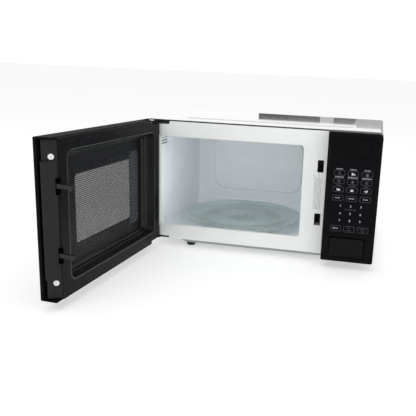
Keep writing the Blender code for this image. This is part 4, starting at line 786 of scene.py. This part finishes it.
def make_coupler():
    """Three-lobed drive hub with a rounded top."""
    base, top = CAVITY_LOW[1] + GAP, TRAY.z - GAP
    loops = []
    for inset, level in ((0.0, base), (0.0, top - 0.0010), (0.0003, top - 0.0004), (0.0010, top)):
        outline = []
        for index in range(72):
            angle = 2 * math.pi * index / 72
            reach = 0.0105 + 0.0040 * math.cos(3 * angle) - inset
            outline.append((TRAY.x + reach * math.cos(angle), TRAY.y + reach * math.sin(angle)))
        loops.append((outline, level))
    hub = loft(loops, "Z", start_cap=True, end_cap=True)
    floor = CAVITY_LOW[1] - 0.0010
    weld(hub, rod((TRAY.x, TRAY.y, floor + 0.0006), (TRAY.x, TRAY.y, base + 0.002), 0.0038, 32))
    piece(hub, "coupler_hub", "nylon", "turntable_coupler", ("turntable_coupler",))


# Door -------------------------------------------------------------------------------------------
def make_door_frame():
    """Outer moulding: front skin with the glass pocket, hinge-end rounding and thin side walls."""
    back, wall = DOOR_INNER - 0.0023, 0.0025
    moulding = rounded(box((0.0, DOOR_OUTER, 0.0), (DOOR_WIDTH, back, HEIGHT)), 0.0020, 4)
    boss_width, boss_height = 0.0300, 0.0290
    cut(moulding, box((wall, SKIN_BACK, boss_height), (boss_width + 0.005, 0.01, HEIGHT - boss_height)))
    cut(moulding, box((boss_width, SKIN_BACK, wall), (DOOR_WIDTH + 0.01, 0.01, HEIGHT - wall)))
    pocket = corners((0.0057, 0.0057), (DOOR_WIDTH - 0.0057, HEIGHT - 0.0057), 0.004)
    cut(moulding, prism(pocket, DOOR_OUTER - 0.01, DOOR_OUTER + 0.0033))
    view = corners((0.0740, 0.0460), (0.2880, 0.1940), 0.006)
    cut(moulding, prism(view, DOOR_OUTER - 0.01, SKIN_BACK + 0.002))
    round_hinge_end(moulding)
    piece(moulding, "door_outer_moulding", "door_skin", "door", ("door_frame",))


def round_hinge_end(moulding):
    """Notches for the brackets, holes for the pins, and rounded edges along the hinge."""
    for low, high in ((-0.01, HINGE_NOTCH), (HEIGHT - HINGE_NOTCH, HEIGHT + 0.01)):
        cut(moulding, box((-0.01, HINGE.y - 0.0098, low), (0.0450, 0.01, high)))
    for low, high in ((-0.01, 0.0260), (HEIGHT - 0.0260, HEIGHT + 0.01)):
        cut(moulding, rod((HINGE.x, HINGE.y, low), (HINGE.x, HINGE.y, high), 0.0033))
    for radius, corner, start in ((0.0120, DOOR_INNER, 90.0), (0.0050, DOOR_OUTER, 180.0)):
        inward = -1 if corner > HINGE.y else 1
        centre = (radius, corner + inward * radius)
        curve = arc(centre, radius, start, 90.0, 12)
        far = 0.004
        outer_y = corner - inward * far
        if inward < 0:
            outline = curve + [(-far, centre[1]), (-far, outer_y), (centre[0], outer_y)]
        else:
            outline = curve + [(centre[0], outer_y), (-far, outer_y), (-far, centre[1])]
        cut(moulding, prism(outline, -0.01, HEIGHT + 0.01, "Z"))


def make_door_glass():
    low, high = (0.0060, 0.0060), (DOOR_WIDTH - 0.0060, HEIGHT - 0.0060)
    front, back, ease = DOOR_OUTER + 0.0002, DOOR_OUTER + 0.0030, 0.0005
    loops = [(corners(*grown(low, high, -ease), 0.0036), front), (corners(low, high, 0.0040), front + ease),
             (corners(low, high, 0.0040), back - ease), (corners(*grown(low, high, -ease), 0.0036), back)]
    pane = loft(loops, start_cap=True, end_cap=True)
    piece(pane, "door_outer_pane", "pane", "door", ("door_glass",))


def make_door_screen():
    """Perforated screen: square cells, each with an eight-sided hole."""
    margin, back, thickness = 0.0040, RECESS_FLOOR - 0.0016, 0.00025
    low, high = grown(WINDOW_LOW, WINDOW_HIGH, margin)
    pitch, row_pitch = 0.0026, 0.0031
    columns = round((high[0] - low[0]) / pitch)
    rows = round((high[1] - low[1]) / row_pitch)
    step_x, step_z = (high[0] - low[0]) / columns, (high[1] - low[1]) / rows
    hole = pitch * 0.41
    points = []
    for row in range(rows + 1):
        for column in range(columns + 1):
            points.append((low[0] + step_x * column, back, low[1] + step_z * row))
    faces = []
    for row in range(rows):
        for column in range(columns):
            lower_left = row * (columns + 1) + column
            lower_right, upper_left = lower_left + 1, lower_left + columns + 1
            upper_right = upper_left + 1
            first = len(points)
            for index in range(8):
                angle = math.radians(22.5 + 45.0 * index)
                points.append((low[0] + step_x * (column + 0.5) + hole * math.cos(angle), back,
                               low[1] + step_z * (row + 0.5) + hole * math.sin(angle)))
            edge = (lower_right, upper_right, upper_left, lower_left)
            for side in range(4):
                start, end = edge[side], edge[(side + 1) % 4]
                near, far = first + (2 * side + 7) % 8, first + 2 * side
                faces.append((start, end, far, near))
                faces.append((end, first + (2 * side + 1) % 8, far))
    mesh = bpy.data.meshes.new("screen")
    mesh.from_pydata(points, [], faces)
    screen = bpy.data.objects.new("screen", mesh)
    bpy.context.scene.collection.objects.link(screen)
    solid_sheet(screen, thickness, 1.0)
    piece(screen, "door_perforated_screen", "screen", "door", ("door_screen",),
          weighted=False)


def make_window_film():
    hinge_margin, free_margin, level_margin = 0.0290, 0.0100, 0.0130
    low = (WINDOW_LOW[0] - hinge_margin, WINDOW_LOW[1] - level_margin)
    high = (WINDOW_HIGH[0] + free_margin, WINDOW_HIGH[1] + level_margin)
    front = RECESS_FLOOR + GAP
    film = prism(corners(low, high, 0.0030), front, front + 0.0006)
    piece(film, "window_clear_film", "clear_film", "door", ("door_window_film",))
    paint_film_reflection(LOOKS["clear_film"].node_tree)


def paint_film_reflection(tree):
    """The film's hinge-side margin is painted lighter, a painted reflection of the lit cavity; the rest of it
    is painted dark and nearly clear.
    """
    shader = tree.nodes["Principled BSDF"]
    parts = tree.nodes.new("ShaderNodeSeparateXYZ")
    tree.links.new(tree.nodes.new("ShaderNodeTexCoord").outputs["Object"], parts.inputs["Vector"])
    clear, reflecting_edge = [(PLACES["door"] @ Vector((WINDOW_LOW[0] + offset, 0.0, 0.0))).y
                   for offset in (0.0020, -0.0020)]
    reflection_share = remap(tree, parts.outputs["Y"], 0.0, 1.0, clear, reflecting_edge)
    # Painted reflection: dark over the window, lighter blue-grey at the hinge-side margin.
    color = blend_colors(tree, reflection_share, (0.030, 0.034, 0.040), (0.34, 0.38, 0.44))
    tree.links.new(color, shader.inputs["Base Color"])


def recess_outline(amount, radius, extra=0.0):
    """The recess's edge moved inward by amount at its sides and by 0.7 of it above and below."""
    side, level = amount - extra, amount * 0.7 - extra
    return corners((RECESS_LOW[0] + side, RECESS_LOW[1] + level),
                   (RECESS_HIGH[0] - side, RECESS_HIGH[1] - level), radius)


def recess_loops(face):
    """One deep step and two small ones, each with an eased lip and a sloping wall."""
    step, slope = 0.0060, 0.0018
    loops = []
    level = face
    for number, drop in enumerate((0.0120, 0.0045, 0.0035)):
        inset = step * number
        radius = 0.0100 - 0.0022 * number
        lip = 2.2 if number == 0 else 1.0
        lips = [(-across * lip, down * lip) for across, down in
                ((0.0010, 0.0), (0.0006, 0.00012), (0.0003, 0.00030), (0.0001, 0.00062), (0.0, 0.0010))]
        wall = [(slope, drop - 0.0008), (slope + 0.0005, drop - 0.0002), (slope + 0.0012, drop)]
        for across, down in lips + wall:
            loops.append((recess_outline(inset + across, max(radius - across * 0.4, 0.001)), level - down))
        level -= drop
    loops[-1] = (loops[-1][0], RECESS_FLOOR)
    last = 2 * step + slope + 0.0012
    loops.append((recess_outline(last, 0.0060, 0.0020), RECESS_FLOOR))
    return loops


def make_choke_cover():
    """Inner moulding: a flat face, three rounded steps down to the window, and the end wall."""
    wall, deep = 0.0015, 0.0195
    low, high = (0.0125, 0.0015), (FACE_END, HEIGHT - 0.0015)
    face, back, ease = DOOR_INNER, DOOR_INNER - 0.0020, 0.0008
    loops = [(corners(low, high, 0.0020), back), (corners(low, high, 0.0020), face - ease)]
    for inset, depth in reversed(fillet(0.0, 0.0, ease, 3)):
        loops.append((corners(*grown(low, high, inset), 0.0020 + inset), face - depth))
    loops += recess_loops(face)
    outer = corners(*grown(RECESS_LOW, RECESS_HIGH, wall), 0.0115)
    loops.append((outer, RECESS_FLOOR))
    loops.append((outer, back))
    cover = loft(loops, ring=True)
    for bottom, top in ((-0.01, HINGE_NOTCH), (HEIGHT - HINGE_NOTCH, HEIGHT + 0.01)):
        cut(cover, box((-0.01, -0.03, bottom), (0.0450, 0.01, top)))
    wall_line = (end_line(0.0006, -0.0012), end_line(0.0006), end_line(deep), end_line(deep, -0.0012))
    weld(cover, prism(wall_line, 0.0040, HEIGHT - 0.0040, "Z"))
    plate = (end_line(0.0014, -0.0006), end_line(0.0014, 0.0012), (DOOR_WIDTH, DOOR_INNER - 0.0170),
             (DOOR_WIDTH, DOOR_INNER - deep), end_line(deep, -0.0006))
    weld(cover, rounded(prism(plate, 0.0330, 0.2065, "Z"), 0.0005, 3))
    cut(cover, *[slit((0.3380, centre), (0.0038, 0.0125), 0.0010, -0.03, 0.01, steps=3)
                 for centre in LATCH_LEVELS])
    for _, centre in SCREW_LEVELS:
        place, direction = screw_line(centre)
        cut(cover, rod(place - direction * 0.01, place + direction * 0.01, 0.0021, 24))
    piece(cover, "door_inner_moulding", "door", "door", ("door_choke_cover",))
    paint_choke_cover(cover)


def paint_choke_cover(cover):
    """A duller end wall, and a recess that is a little lighter than the flat face."""
    cover.data.materials.append(LOOKS["door_end"])
    cover.data.materials.append(LOOKS["recess"])
    to_closed = PLACES["door"].inverted()
    for polygon in cover.data.polygons:
        spot = to_closed @ polygon.center
        if spot.x > FACE_END + 0.0008:
            polygon.material_index = 1
        elif spot.y < DOOR_INNER - 0.0016 and RECESS_LOW[0] - 0.0005 < spot.x < RECESS_HIGH[0] + 0.0005:
            polygon.material_index = 2


def make_recess_lip():
    """Fine bead that runs round the recess in the door's inner face; the bead is real, and its lighter,
    glossier grey is a painted highlight line.
    """
    low, high = grown(RECESS_LOW, RECESS_HIGH, 0.0022)
    bead = ((0.0, -0.0002), (0.0, 0.0), (0.00025, 0.0002), (0.0007, 0.0003), (0.00115, 0.0002), (0.0014, 0.0),
            (0.0014, -0.0002))
    loops = []
    for offset, rise in bead:
        loops.append((corners(*grown(low, high, offset), 0.0120 + offset), DOOR_INNER + rise))
    piece(loft(loops, ring=True), "recess_bead_painted_highlight", "rim", "door", angle=60)


def end_line(depth, outward=0.0):
    """A point (X, Y) on the sloping end wall, from its depth behind the inner face."""
    lean = 0.0096 / 0.0189
    return (FACE_END + (depth - 0.0006) * lean + outward, DOOR_INNER - depth)


def screw_line(level):
    place = end_line(0.0080)
    return Vector((place[0], place[1], level)), Vector((0.0189, 0.0096, 0.0)).normalized()


def make_door_screws():
    for name, level in SCREW_LEVELS:
        place, direction = screw_line(level)
        head = screw_head(place + direction * GAP, direction, 0.0042, 0.0020, 0.0002, 40)
        cut(head, rod(place + direction * 0.0011, place + direction * 0.004, 0.0011, 24))
        weld(head, rod(place - direction * 0.0034, place + direction * 0.0008, 0.0017, 20))
        piece(head, name + "_head", "white_screw", "door", (name,))


def make_latch_bar():
    """Sliding bar and its two hooks, edges rounded."""
    half, tip = 0.0020, 0.0220
    low_x, high_x = LATCH_X - half, LATCH_X + half
    bar = box((low_x, -0.0180, 0.0500), (high_x, -0.0080, 0.1900))
    for centre in LATCH_LEVELS:
        hook = ((-0.0100, centre + 0.0045), (-0.0100, centre - 0.0030), (tip - 0.0070, centre - 0.0030),
                (tip - 0.0070, centre - 0.0070), (tip, centre - 0.0010), (tip - 0.0010, centre + 0.0030))
        weld(bar, prism(hook, low_x, high_x, "X"))
    rounded(bar, 0.0007, 3, 40)
    piece(bar, "latch_hooks", "hook", "latch_bar", ("latch_bar",))


# Control panel ----------------------------------------------------------------------------------
def make_panel():
    """Panel moulding: rounded upper right corner, bevelled left edge, film pocket, button well."""
    low, high = (PANEL_LEFT, 0.0), (WIDTH, HEIGHT)
    front, back = DOOR_OUTER, -0.0006
    edge, left = 0.0018, 0.0042
    loops = [(corners(low, high, (0.0080, 0.0015, 0.0015, 0.0040), 8), back)]
    for step in range(6):
        angle = math.radians(18.0 * step)
        inset, bevelled = edge * (1 - math.cos(angle)), left * (1 - math.cos(angle))
        inner_low = (low[0] + bevelled, low[1] + inset * 0.6)
        inner_high = (high[0] - inset, high[1] - inset * 0.6)
        outline = corners(inner_low, inner_high, (0.0080, 0.0020, 0.0020, 0.0040), 8)
        loops.append((outline, front + edge - edge * math.sin(angle)))
    housing = loft(loops, start_cap=True, end_cap=True)
    wall = 0.0025
    cut(housing, box((PANEL_LEFT + wall, front + 0.0040, wall), (WIDTH - wall, 0.01, HEIGHT - wall)))
    cut(housing, prism(corners((0.3605, 0.0520), (0.4440, 0.2340), 0.003), front - 0.01, front + 0.0012))
    cut(housing, prism(corners((0.3660, 0.1950), (0.4320, 0.2300), 0.0015), front - 0.01, front + 0.006))
    mouth = grown(BUTTON_LOW, BUTTON_HIGH, 0.0005)
    cut(housing, prism(corners(*mouth, 0.0025), front - 0.01, front + 0.006))
    well = loft(((corners((0.3600, 0.0035), (0.4385, 0.0490), 0.0070), front - 0.0040),
                 (corners((0.3622, 0.0050), (0.4368, 0.0480), 0.0060), front),
                 (corners((0.3682, 0.0082), (0.4318, 0.0458), 0.0030), front + 0.0032)),
                start_cap=True, end_cap=True)
    cut(housing, well)
    guide_low, guide_high = front + 0.0036, front + 0.0180
    weld(housing, frame_of(corners(*grown(*mouth, 0.0012), 0.0037), corners(*mouth, 0.0025),
                           guide_low, guide_high))
    piece(housing, "control_panel_moulding", "panel", replaces=("control_panel_housing",))


def make_membrane():
    """The flat key sheet, and the display's lens in its window."""
    front = DOOR_OUTER + 0.0001
    outer = corners((0.3609, 0.0524), (0.4436, 0.2336), 0.0028)
    inner = corners((0.3661, 0.1951), (0.4319, 0.2299), 0.0014)
    piece(frame_of(outer, inner, front, front + 0.0008), "keypad_sheet", "film",
          replaces=("keypad_membrane",))
    low, high, ease = (0.3663, 0.1953), (0.4317, 0.2297), 0.0004
    front += 0.0001
    edge = corners(low, high, 0.0012)
    lens = loft(((corners(*grown(low, high, -ease), 0.0010), front), (edge, front + ease),
                 (edge, front + 0.0030)), start_cap=True, end_cap=True)
    piece(lens, "display_lens_moulding", "lens", replaces=("display_window",))


def make_button():
    """Release key: soft edges, a shallow finger scoop, and a stem that reaches the lever."""
    front, back = DOOR_OUTER + 0.0008, DOOR_OUTER + 0.0130
    low, high = BUTTON_LOW, BUTTON_HIGH
    wave = []
    steps = 16
    for step in range(steps + 1):
        share = step / steps
        x = low[0] + 0.0005 + (high[0] - low[0] - 0.0010) * share
        bend = 1 / (1 + math.exp(-(share - 0.42) * 22))
        dip = math.exp(-((share - 0.56) / 0.12) ** 2)
        wave.append((x, low[1] + 0.0075 - 0.0025 * bend - 0.0050 * dip + 0.0030 * share * bend))
    key = prism(corners(low, high, 0.0022), front, back)
    rounded(key, 0.0012, 4)
    far_left, far_right, far_below = low[0] - 0.01, high[0] + 0.01, low[1] - 0.01
    under = wave + [(far_right, wave[-1][1]), (far_right, far_below), (far_left, far_below),
                    (far_left, wave[0][1])]
    cut(key, prism(under, front - 0.01, front + 0.0022))
    scoop_y, scoop_z = front - 0.0205, 0.0265
    cut(key, rod((low[0] + 0.006, scoop_y, scoop_z), (high[0] - 0.006, scoop_y, scoop_z), 0.0212, 96))
    hollow_low, hollow_high = grown(low, high, -0.002)
    cut(key, box((hollow_low[0], front + 0.0045, hollow_low[1]), (hollow_high[0], 0.01, hollow_high[1])))
    weld(key, box((0.3880, front + 0.0040, 0.0240), (0.3960, 0.0074, 0.0270)))
    piece(key, "release_key", "button", "release_button", ("release_button",))


def ink_bar(left, low, right, high):
    return box((left, PRINT_FRONT, low), (right, PRINT_BACK, high))


def key_box(x, z, height):
    low, high = (x - KEY_WIDTH / 2, z - height / 2), (x + KEY_WIDTH / 2, z + height / 2)
    inner = corners(*grown(low, high, -0.0004), 0.0022)
    return frame_of(corners(low, high, 0.0026), inner, PRINT_FRONT, PRINT_BACK)


def stroke_word(x, z, width, height=0.0016, seed=0):
    """A row of short strokes that stands for a printed word without spelling one."""
    strokes = []
    pitch = 0.00105
    count = round(width / pitch)
    for index in range(count):
        left = x - width / 2 + pitch * index
        tall = height * (1.35 if (index * 3 + seed) % 5 == 0 else 1.0)
        strokes.append(ink_bar(left, z - height / 2, left + 0.00042, z - height / 2 + tall))
        if (index + seed) % 2:
            level = z + height * (0.32 if (index + seed) % 3 else -0.42)
            strokes.append(ink_bar(left, level, left + pitch * 0.8, level + 0.00040))
    return strokes


def polar(x, z, reach, lobes=0, depth=0.0, turn=0.0, squash=1.0, points=40):
    outline = []
    for index in range(points):
        angle = 2 * math.pi * index / points
        radius = reach * (1 + depth * math.cos(lobes * angle + turn))
        outline.append((x + radius * math.cos(angle), z + radius * math.sin(angle) * squash))
    return outline


def ink_disc(*numbers, **options):
    return prism(polar(*numbers, **options), PRINT_FRONT, PRINT_BACK)


def ink_hoop(x, z, reach=0.0026):
    return frame_of(polar(x, z, reach), polar(x, z, reach * 0.78), PRINT_FRONT, PRINT_BACK)


def icon(kind, x, z):
    """A generic cooking symbol, about 5 mm high."""
    if kind == "dial":
        return [ink_hoop(x, z), ink_bar(x - 0.0002, z, x + 0.0002, z + 0.0020)]
    if kind == "mug":
        return [ink_bar(x - 0.0028, z - 0.0022, x + 0.0010, z + 0.0018),
                ink_disc(x + 0.0026, z - 0.0010, 0.0013)]
    if kind == "pot":
        return [ink_disc(x, z - 0.0006, 0.0026, lobes=3, depth=0.18, turn=math.pi / 2),
                ink_bar(x - 0.0030, z + 0.0016, x + 0.0030, z + 0.0020)]
    if kind == "grill":
        levels = [z - 0.0022 + 0.0011 * row for row in range(5)]
        return [ink_bar(x - 0.0026, level, x + 0.0026, level + 0.0005) for level in levels]
    if kind == "leaf":
        return [ink_disc(x, z, 0.0021, lobes=4, depth=0.35),
                ink_bar(x - 0.0002, z - 0.0030, x + 0.0002, z - 0.0018)]
    if kind == "plate":
        return [ink_hoop(x, z), ink_disc(x, z, 0.0009)]
    if kind == "roast":
        return [ink_disc(x - 0.0006, z, 0.0030, squash=0.62), ink_disc(x + 0.0028, z - 0.0010, 0.0010)]
    if kind == "loaf":
        return [ink_disc(x, z - 0.0004, 0.0026, lobes=3, depth=0.22, turn=-math.pi / 2, squash=0.75),
                ink_bar(x - 0.0032, z - 0.0022, x + 0.0032, z - 0.0017)]
    trio = ((-0.0018, 0.0, 0.0012), (0.0017, 0.0004, 0.0016), (0.0003, -0.0016, 0.0010))
    return [ink_disc(x + across, z + up, reach) for across, up, reach in trio]


def digit(text, x, z, size=0.0058):
    curve = bpy.data.curves.new("digit", "FONT")
    curve.body = text
    curve.size = size
    curve.extrude = (PRINT_BACK - PRINT_FRONT) / 2
    curve.align_x = "CENTER"
    curve.align_y = "CENTER"
    source = bpy.data.objects.new("digit", curve)
    bpy.context.scene.collection.objects.link(source)
    mesh = bpy.data.meshes.new_from_object(source.evaluated_get(bpy.context.evaluated_depsgraph_get()))
    bpy.data.objects.remove(source, do_unlink=True)
    middle = Matrix.Translation((x, (PRINT_FRONT + PRINT_BACK) / 2, z))
    mesh.transform(middle @ Matrix.Rotation(math.radians(90), 4, "X"))
    obj = bpy.data.objects.new("digit", mesh)
    bpy.context.scene.collection.objects.link(obj)
    return obj


def make_legends():
    """Everything printed on the key sheet, as thin raised ink."""
    dim, bright = [], []
    icons = (("dial", "mug", "pot"), ("grill", "leaf", "plate"), ("roast", "loaf", "trio"))
    tones = ((dim, bright, dim), (dim, dim, dim), (bright, bright, bright))
    widths = ((0.0118, 0.0112, 0.0106), (0.0155, 0.0180, 0.0175), (0.0090, 0.0125, 0.0085))
    for row, bottom in enumerate((0.1618, 0.1471, 0.1320)):
        for column, x in enumerate(KEY_COLUMNS):
            dim.append(key_box(x, bottom + 0.0048, 0.0096))
            tones[row][column].extend(icon(icons[row][column], x, bottom + 0.0044))
            words = bright if row < 2 else dim
            words.extend(stroke_word(x, bottom + 0.0122, widths[row][column], seed=row + column))
    for column, x in enumerate(KEY_COLUMNS):
        dim.append(key_box(x, 0.1209, 0.0098))
        bright.extend(stroke_word(x, 0.1209, (0.0095, 0.0115, 0.0090)[column], seed=column))
        dim.append(key_box(x, 0.0636, 0.0112))
    for number in range(9):
        x = (0.3842, 0.4025, 0.4210)[number % 3]
        z = (0.1066, 0.0926, 0.0790)[number // 3]
        bright.append(digit(str(number + 1), x, z))
    dim.extend(stroke_word(0.4027, 0.1002, 0.0210, 0.0013, seed=2))
    bright.extend(stroke_word(KEY_COLUMNS[0], 0.0636, 0.0110, 0.0020, seed=1))
    dim.extend(stroke_word(KEY_COLUMNS[1], 0.0660, 0.0040, 0.0016, seed=1))
    dim.extend(stroke_word(KEY_COLUMNS[1], 0.0612, 0.0070, 0.0016, seed=3))
    dim.extend(stroke_word(KEY_COLUMNS[2], 0.0660, 0.0110, 0.0016, seed=2))
    dim.extend(stroke_word(KEY_COLUMNS[2], 0.0612, 0.0070, 0.0016, seed=4))
    piece(joined(dim), "key_legends_grey", "print_dim", weighted=False)
    piece(joined(bright), "key_legends_white", "print_bright", weighted=False)


# Springs ----------------------------------------------------------------------------------------
def make_spring(name, node, start, end, radius, wire, turns, bodies):
    """A wound spring with closed end turns, placed where the first of bodies has it; it is not tied to either
    body, and neither end follows one.
    """
    start, end = Vector(start), Vector(end)
    length = (end - start).length
    matrix = (end - start).to_track_quat("Z", "Y").to_matrix()
    bm = bmesh.new()
    rows = []
    steps, sides = 24, 10
    for step in range(turns * steps + 1):
        turn = step / steps
        open_share = min(max((turn - 1) / (turns - 2), 0.0), 1.0)
        closed_turns = min(turn, 1.0) + max(turn - (turns - 1), 0.0)
        level = wire * (0.5 + closed_turns) + (length - 3 * wire) * open_share
        angle = 2 * math.pi * turn
        row = []
        for side in range(sides):
            around = 2 * math.pi * side / sides
            reach = radius + wire / 2 * math.cos(around)
            height = level + wire / 2 * math.sin(around)
            local = Vector((reach * math.cos(angle), reach * math.sin(angle), height))
            row.append(bm.verts.new(start + matrix @ local))
        rows.append(row)
    for first, second in zip(rows, rows[1:]):
        for side in range(sides):
            after = (side + 1) % sides
            bm.faces.new((first[side], first[after], second[after], second[side]))
    bm.faces.new(list(reversed(rows[0])))
    bm.faces.new(rows[-1])
    spring = from_bmesh(bm)
    spring.name = name
    spring.data.name = name
    spring.data.materials.append(LOOKS["spring"])
    spring.data.shade_smooth()
    place = PLACES.get(bodies[0], TO_WORLD)
    spring.data.transform(place)
    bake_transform(spring)
    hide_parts(node)


def make_springs():
    """The button's return spring and the hook bar's spring."""
    rear, front = -0.0010, DOOR_OUTER + 0.0059
    make_spring("button_return_spring", "button_spring", (0.4100, rear, 0.0270), (0.4100, front, 0.0270),
                0.0040, 0.0008, 6, ("root", "release_button"))
    x, y = LATCH_X - 0.0006, -0.0130
    make_spring("latch_return_spring", "latch_spring", (x, y, 0.0330), (x, y, 0.0494),
                0.0022, 0.0005, 7, ("door", "latch_bar"))


# Carried-over nodes -----------------------------------------------------------------------------
KEPT = {
    "dark_steel": ("hinge_bracket_lower", "hinge_bracket_upper", "door_inner_plate"),
    "bright_steel": ("hinge_pin_lower", "hinge_pin_upper", "capacitor"),
    "zinc": ("turntable_motor", "waveguide", "capacitor_clamp", "fan_motor"),
    "fins": ("magnetron",),
    "laminations": ("transformer_core",),
    "copper": ("transformer_winding",),
    "nylon": ("release_lever", "fan_shroud", "fan_blade", "lamp_holder"),
    "switch": ("latch_board", "switch_primary", "switch_secondary", "switch_monitor", "thermal_cutout",
               "diode"),
    "board": ("control_board", "filter_board"),
    "digits_off": ("display_module",),
    "bulb": ("oven_lamp",),
    "mica": ("waveguide_cover",),
}


def dress_kept_nodes():
    """Materials for the inner nodes that are shown with their CAD shape."""
    for look, names in KEPT.items():
        for name in names:
            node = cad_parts[name]
            for slot in node.material_slots:
                slot.material = LOOKS[look]
            if not node.material_slots:
                node.data.materials.append(LOOKS[look])


# Studio -----------------------------------------------------------------------------------------
def stage_card(name, low_x, high_x, top, tone):
    """A card behind the oven that only mirror-like reflections see, as in a photographer's studio."""
    behind, bottom = 1.500, 0.20
    bm = bmesh.new()
    spots = ((low_x, bottom), (high_x, bottom), (high_x, top), (low_x, top))
    bm.faces.new([bm.verts.new(ORIGIN + Vector((x, behind, z))) for x, z in spots])
    card = from_bmesh(bm)
    card.name = name
    card.data.materials.append(surface(name, (tone, tone, tone), 0.9, spread=0.15, scale=4.0, bump=0.01,
                                       Specular_IOR_Level=0.0))
    for ray in ("camera", "diffuse", "transmission", "volume_scatter", "shadow"):
        setattr(card, "visible_" + ray, False)


def make_studio():
    scene = bpy.context.scene
    scene.view_settings.view_transform = "Standard"
    world = bpy.data.worlds.new("studio")
    world.use_nodes = True
    tree = world.node_tree
    backdrop = tree.nodes["Background"]
    backdrop.inputs["Color"].default_value = (1.0, 1.0, 1.0, 1.0)
    direction = tree.nodes.new("ShaderNodeTexCoord")
    parts = tree.nodes.new("ShaderNodeSeparateXYZ")
    tree.links.new(direction.outputs["Generated"], parts.inputs["Vector"])
    horizon, zenith = 1.02, 0.55
    strength = remap(tree, parts.outputs["Z"], horizon, zenith, 0.15, 0.75)
    tree.links.new(strength, backdrop.inputs["Strength"])
    scene.world = world
    bm = bmesh.new()
    bmesh.ops.create_grid(bm, x_segments=1, y_segments=1, size=40.0)
    floor = from_bmesh(bm)
    floor.name = "studio_floor"
    floor.data.materials.append(surface("pale_floor", (0.80, 0.80, 0.80), 0.8, spread=0.01, scale=3.0,
                                        bump=0.01, Specular_IOR_Level=0.0, Emission_Strength=0.42,
                                        Emission_Color=(1.0, 1.0, 1.0, 1.0)))
    for name, low_x, high_x, top, tone in (
        ("card_dark", -0.091, 0.045, 0.363, 0.01), ("card_dusk", 0.045, 0.187, 0.363, 0.05),
        ("card_light", 0.187, 0.247, 0.363, 0.45), ("card_grey", 0.247, 0.343, 0.363, 0.10),
        ("card_pale", 0.343, 0.620, 0.372, 0.36),
    ):
        stage_card(name, low_x, high_x, top, tone)
    for name, place, size, energy in (
        ("key_light", Vector((-0.5, -1.8, 1.9)), 1.6, 9.0),
        ("fill_light", Vector((1.6, -1.2, 1.3)), 1.4, 3.0),
        ("top_light", Vector((0.1, 0.2, 2.2)), 1.8, 6.0),
    ):
        area_light(name, place, Vector((0.0, 0.0, 0.12)), (size, size), energy)
    mouth = ORIGIN + Vector((0.1670, 0.0060, 0.1190))
    area_light("cavity_glow", mouth, mouth + Vector((0.0, 0.2, 0.0)), (0.26, 0.15), 0.12)


def area_light(name, place, aim, size, energy):
    data = bpy.data.lights.new(name, "AREA")
    data.shape = "RECTANGLE"
    data.size, data.size_y = size
    data.energy = energy
    light = bpy.data.objects.new(name, data)
    light.location = place
    light.rotation_euler = (aim - place).to_track_quat("-Z", "Y").to_euler()
    light.visible_camera = False
    light.visible_glossy = name != "cavity_glow"
    bpy.context.scene.collection.objects.link(light)


def make_camera():
    """Eye a little above the oven and to its right, with the roll and shift of the reference view."""
    eye = ORIGIN + Vector((0.4364, -1.0483, 0.3420))
    yaw, pitch, roll = math.radians(11.15), math.radians(13.66), math.radians(2.477)
    data = bpy.data.cameras.new("camera")
    data.lens = 49.276
    data.shift_x = -0.1256
    data.shift_y = -0.0013
    data.clip_start = 0.01
    camera = bpy.data.objects.new("camera", data)
    turn = Matrix.Rotation(yaw, 3, "Z") @ Matrix.Rotation(math.radians(90) - pitch, 3, "X")
    camera.rotation_euler = (turn @ Matrix.Rotation(roll, 3, "Z")).to_euler()
    camera.location = eye
    bpy.context.scene.collection.objects.link(camera)
    bpy.context.scene.camera = camera


make_camera()
make_studio()
dress_kept_nodes()
make_front_plate()
make_outer_cover()
make_base_plate()
make_rear_panel()
make_cord_inlet()
make_feet()
make_cavity()
make_tray()
make_ring()
make_coupler()
make_door_frame()
make_door_glass()
make_door_screen()
make_window_film()
make_choke_cover()
make_recess_lip()
make_door_screws()
make_latch_bar()
make_panel()
make_membrane()
make_button()
make_legends()
make_springs()
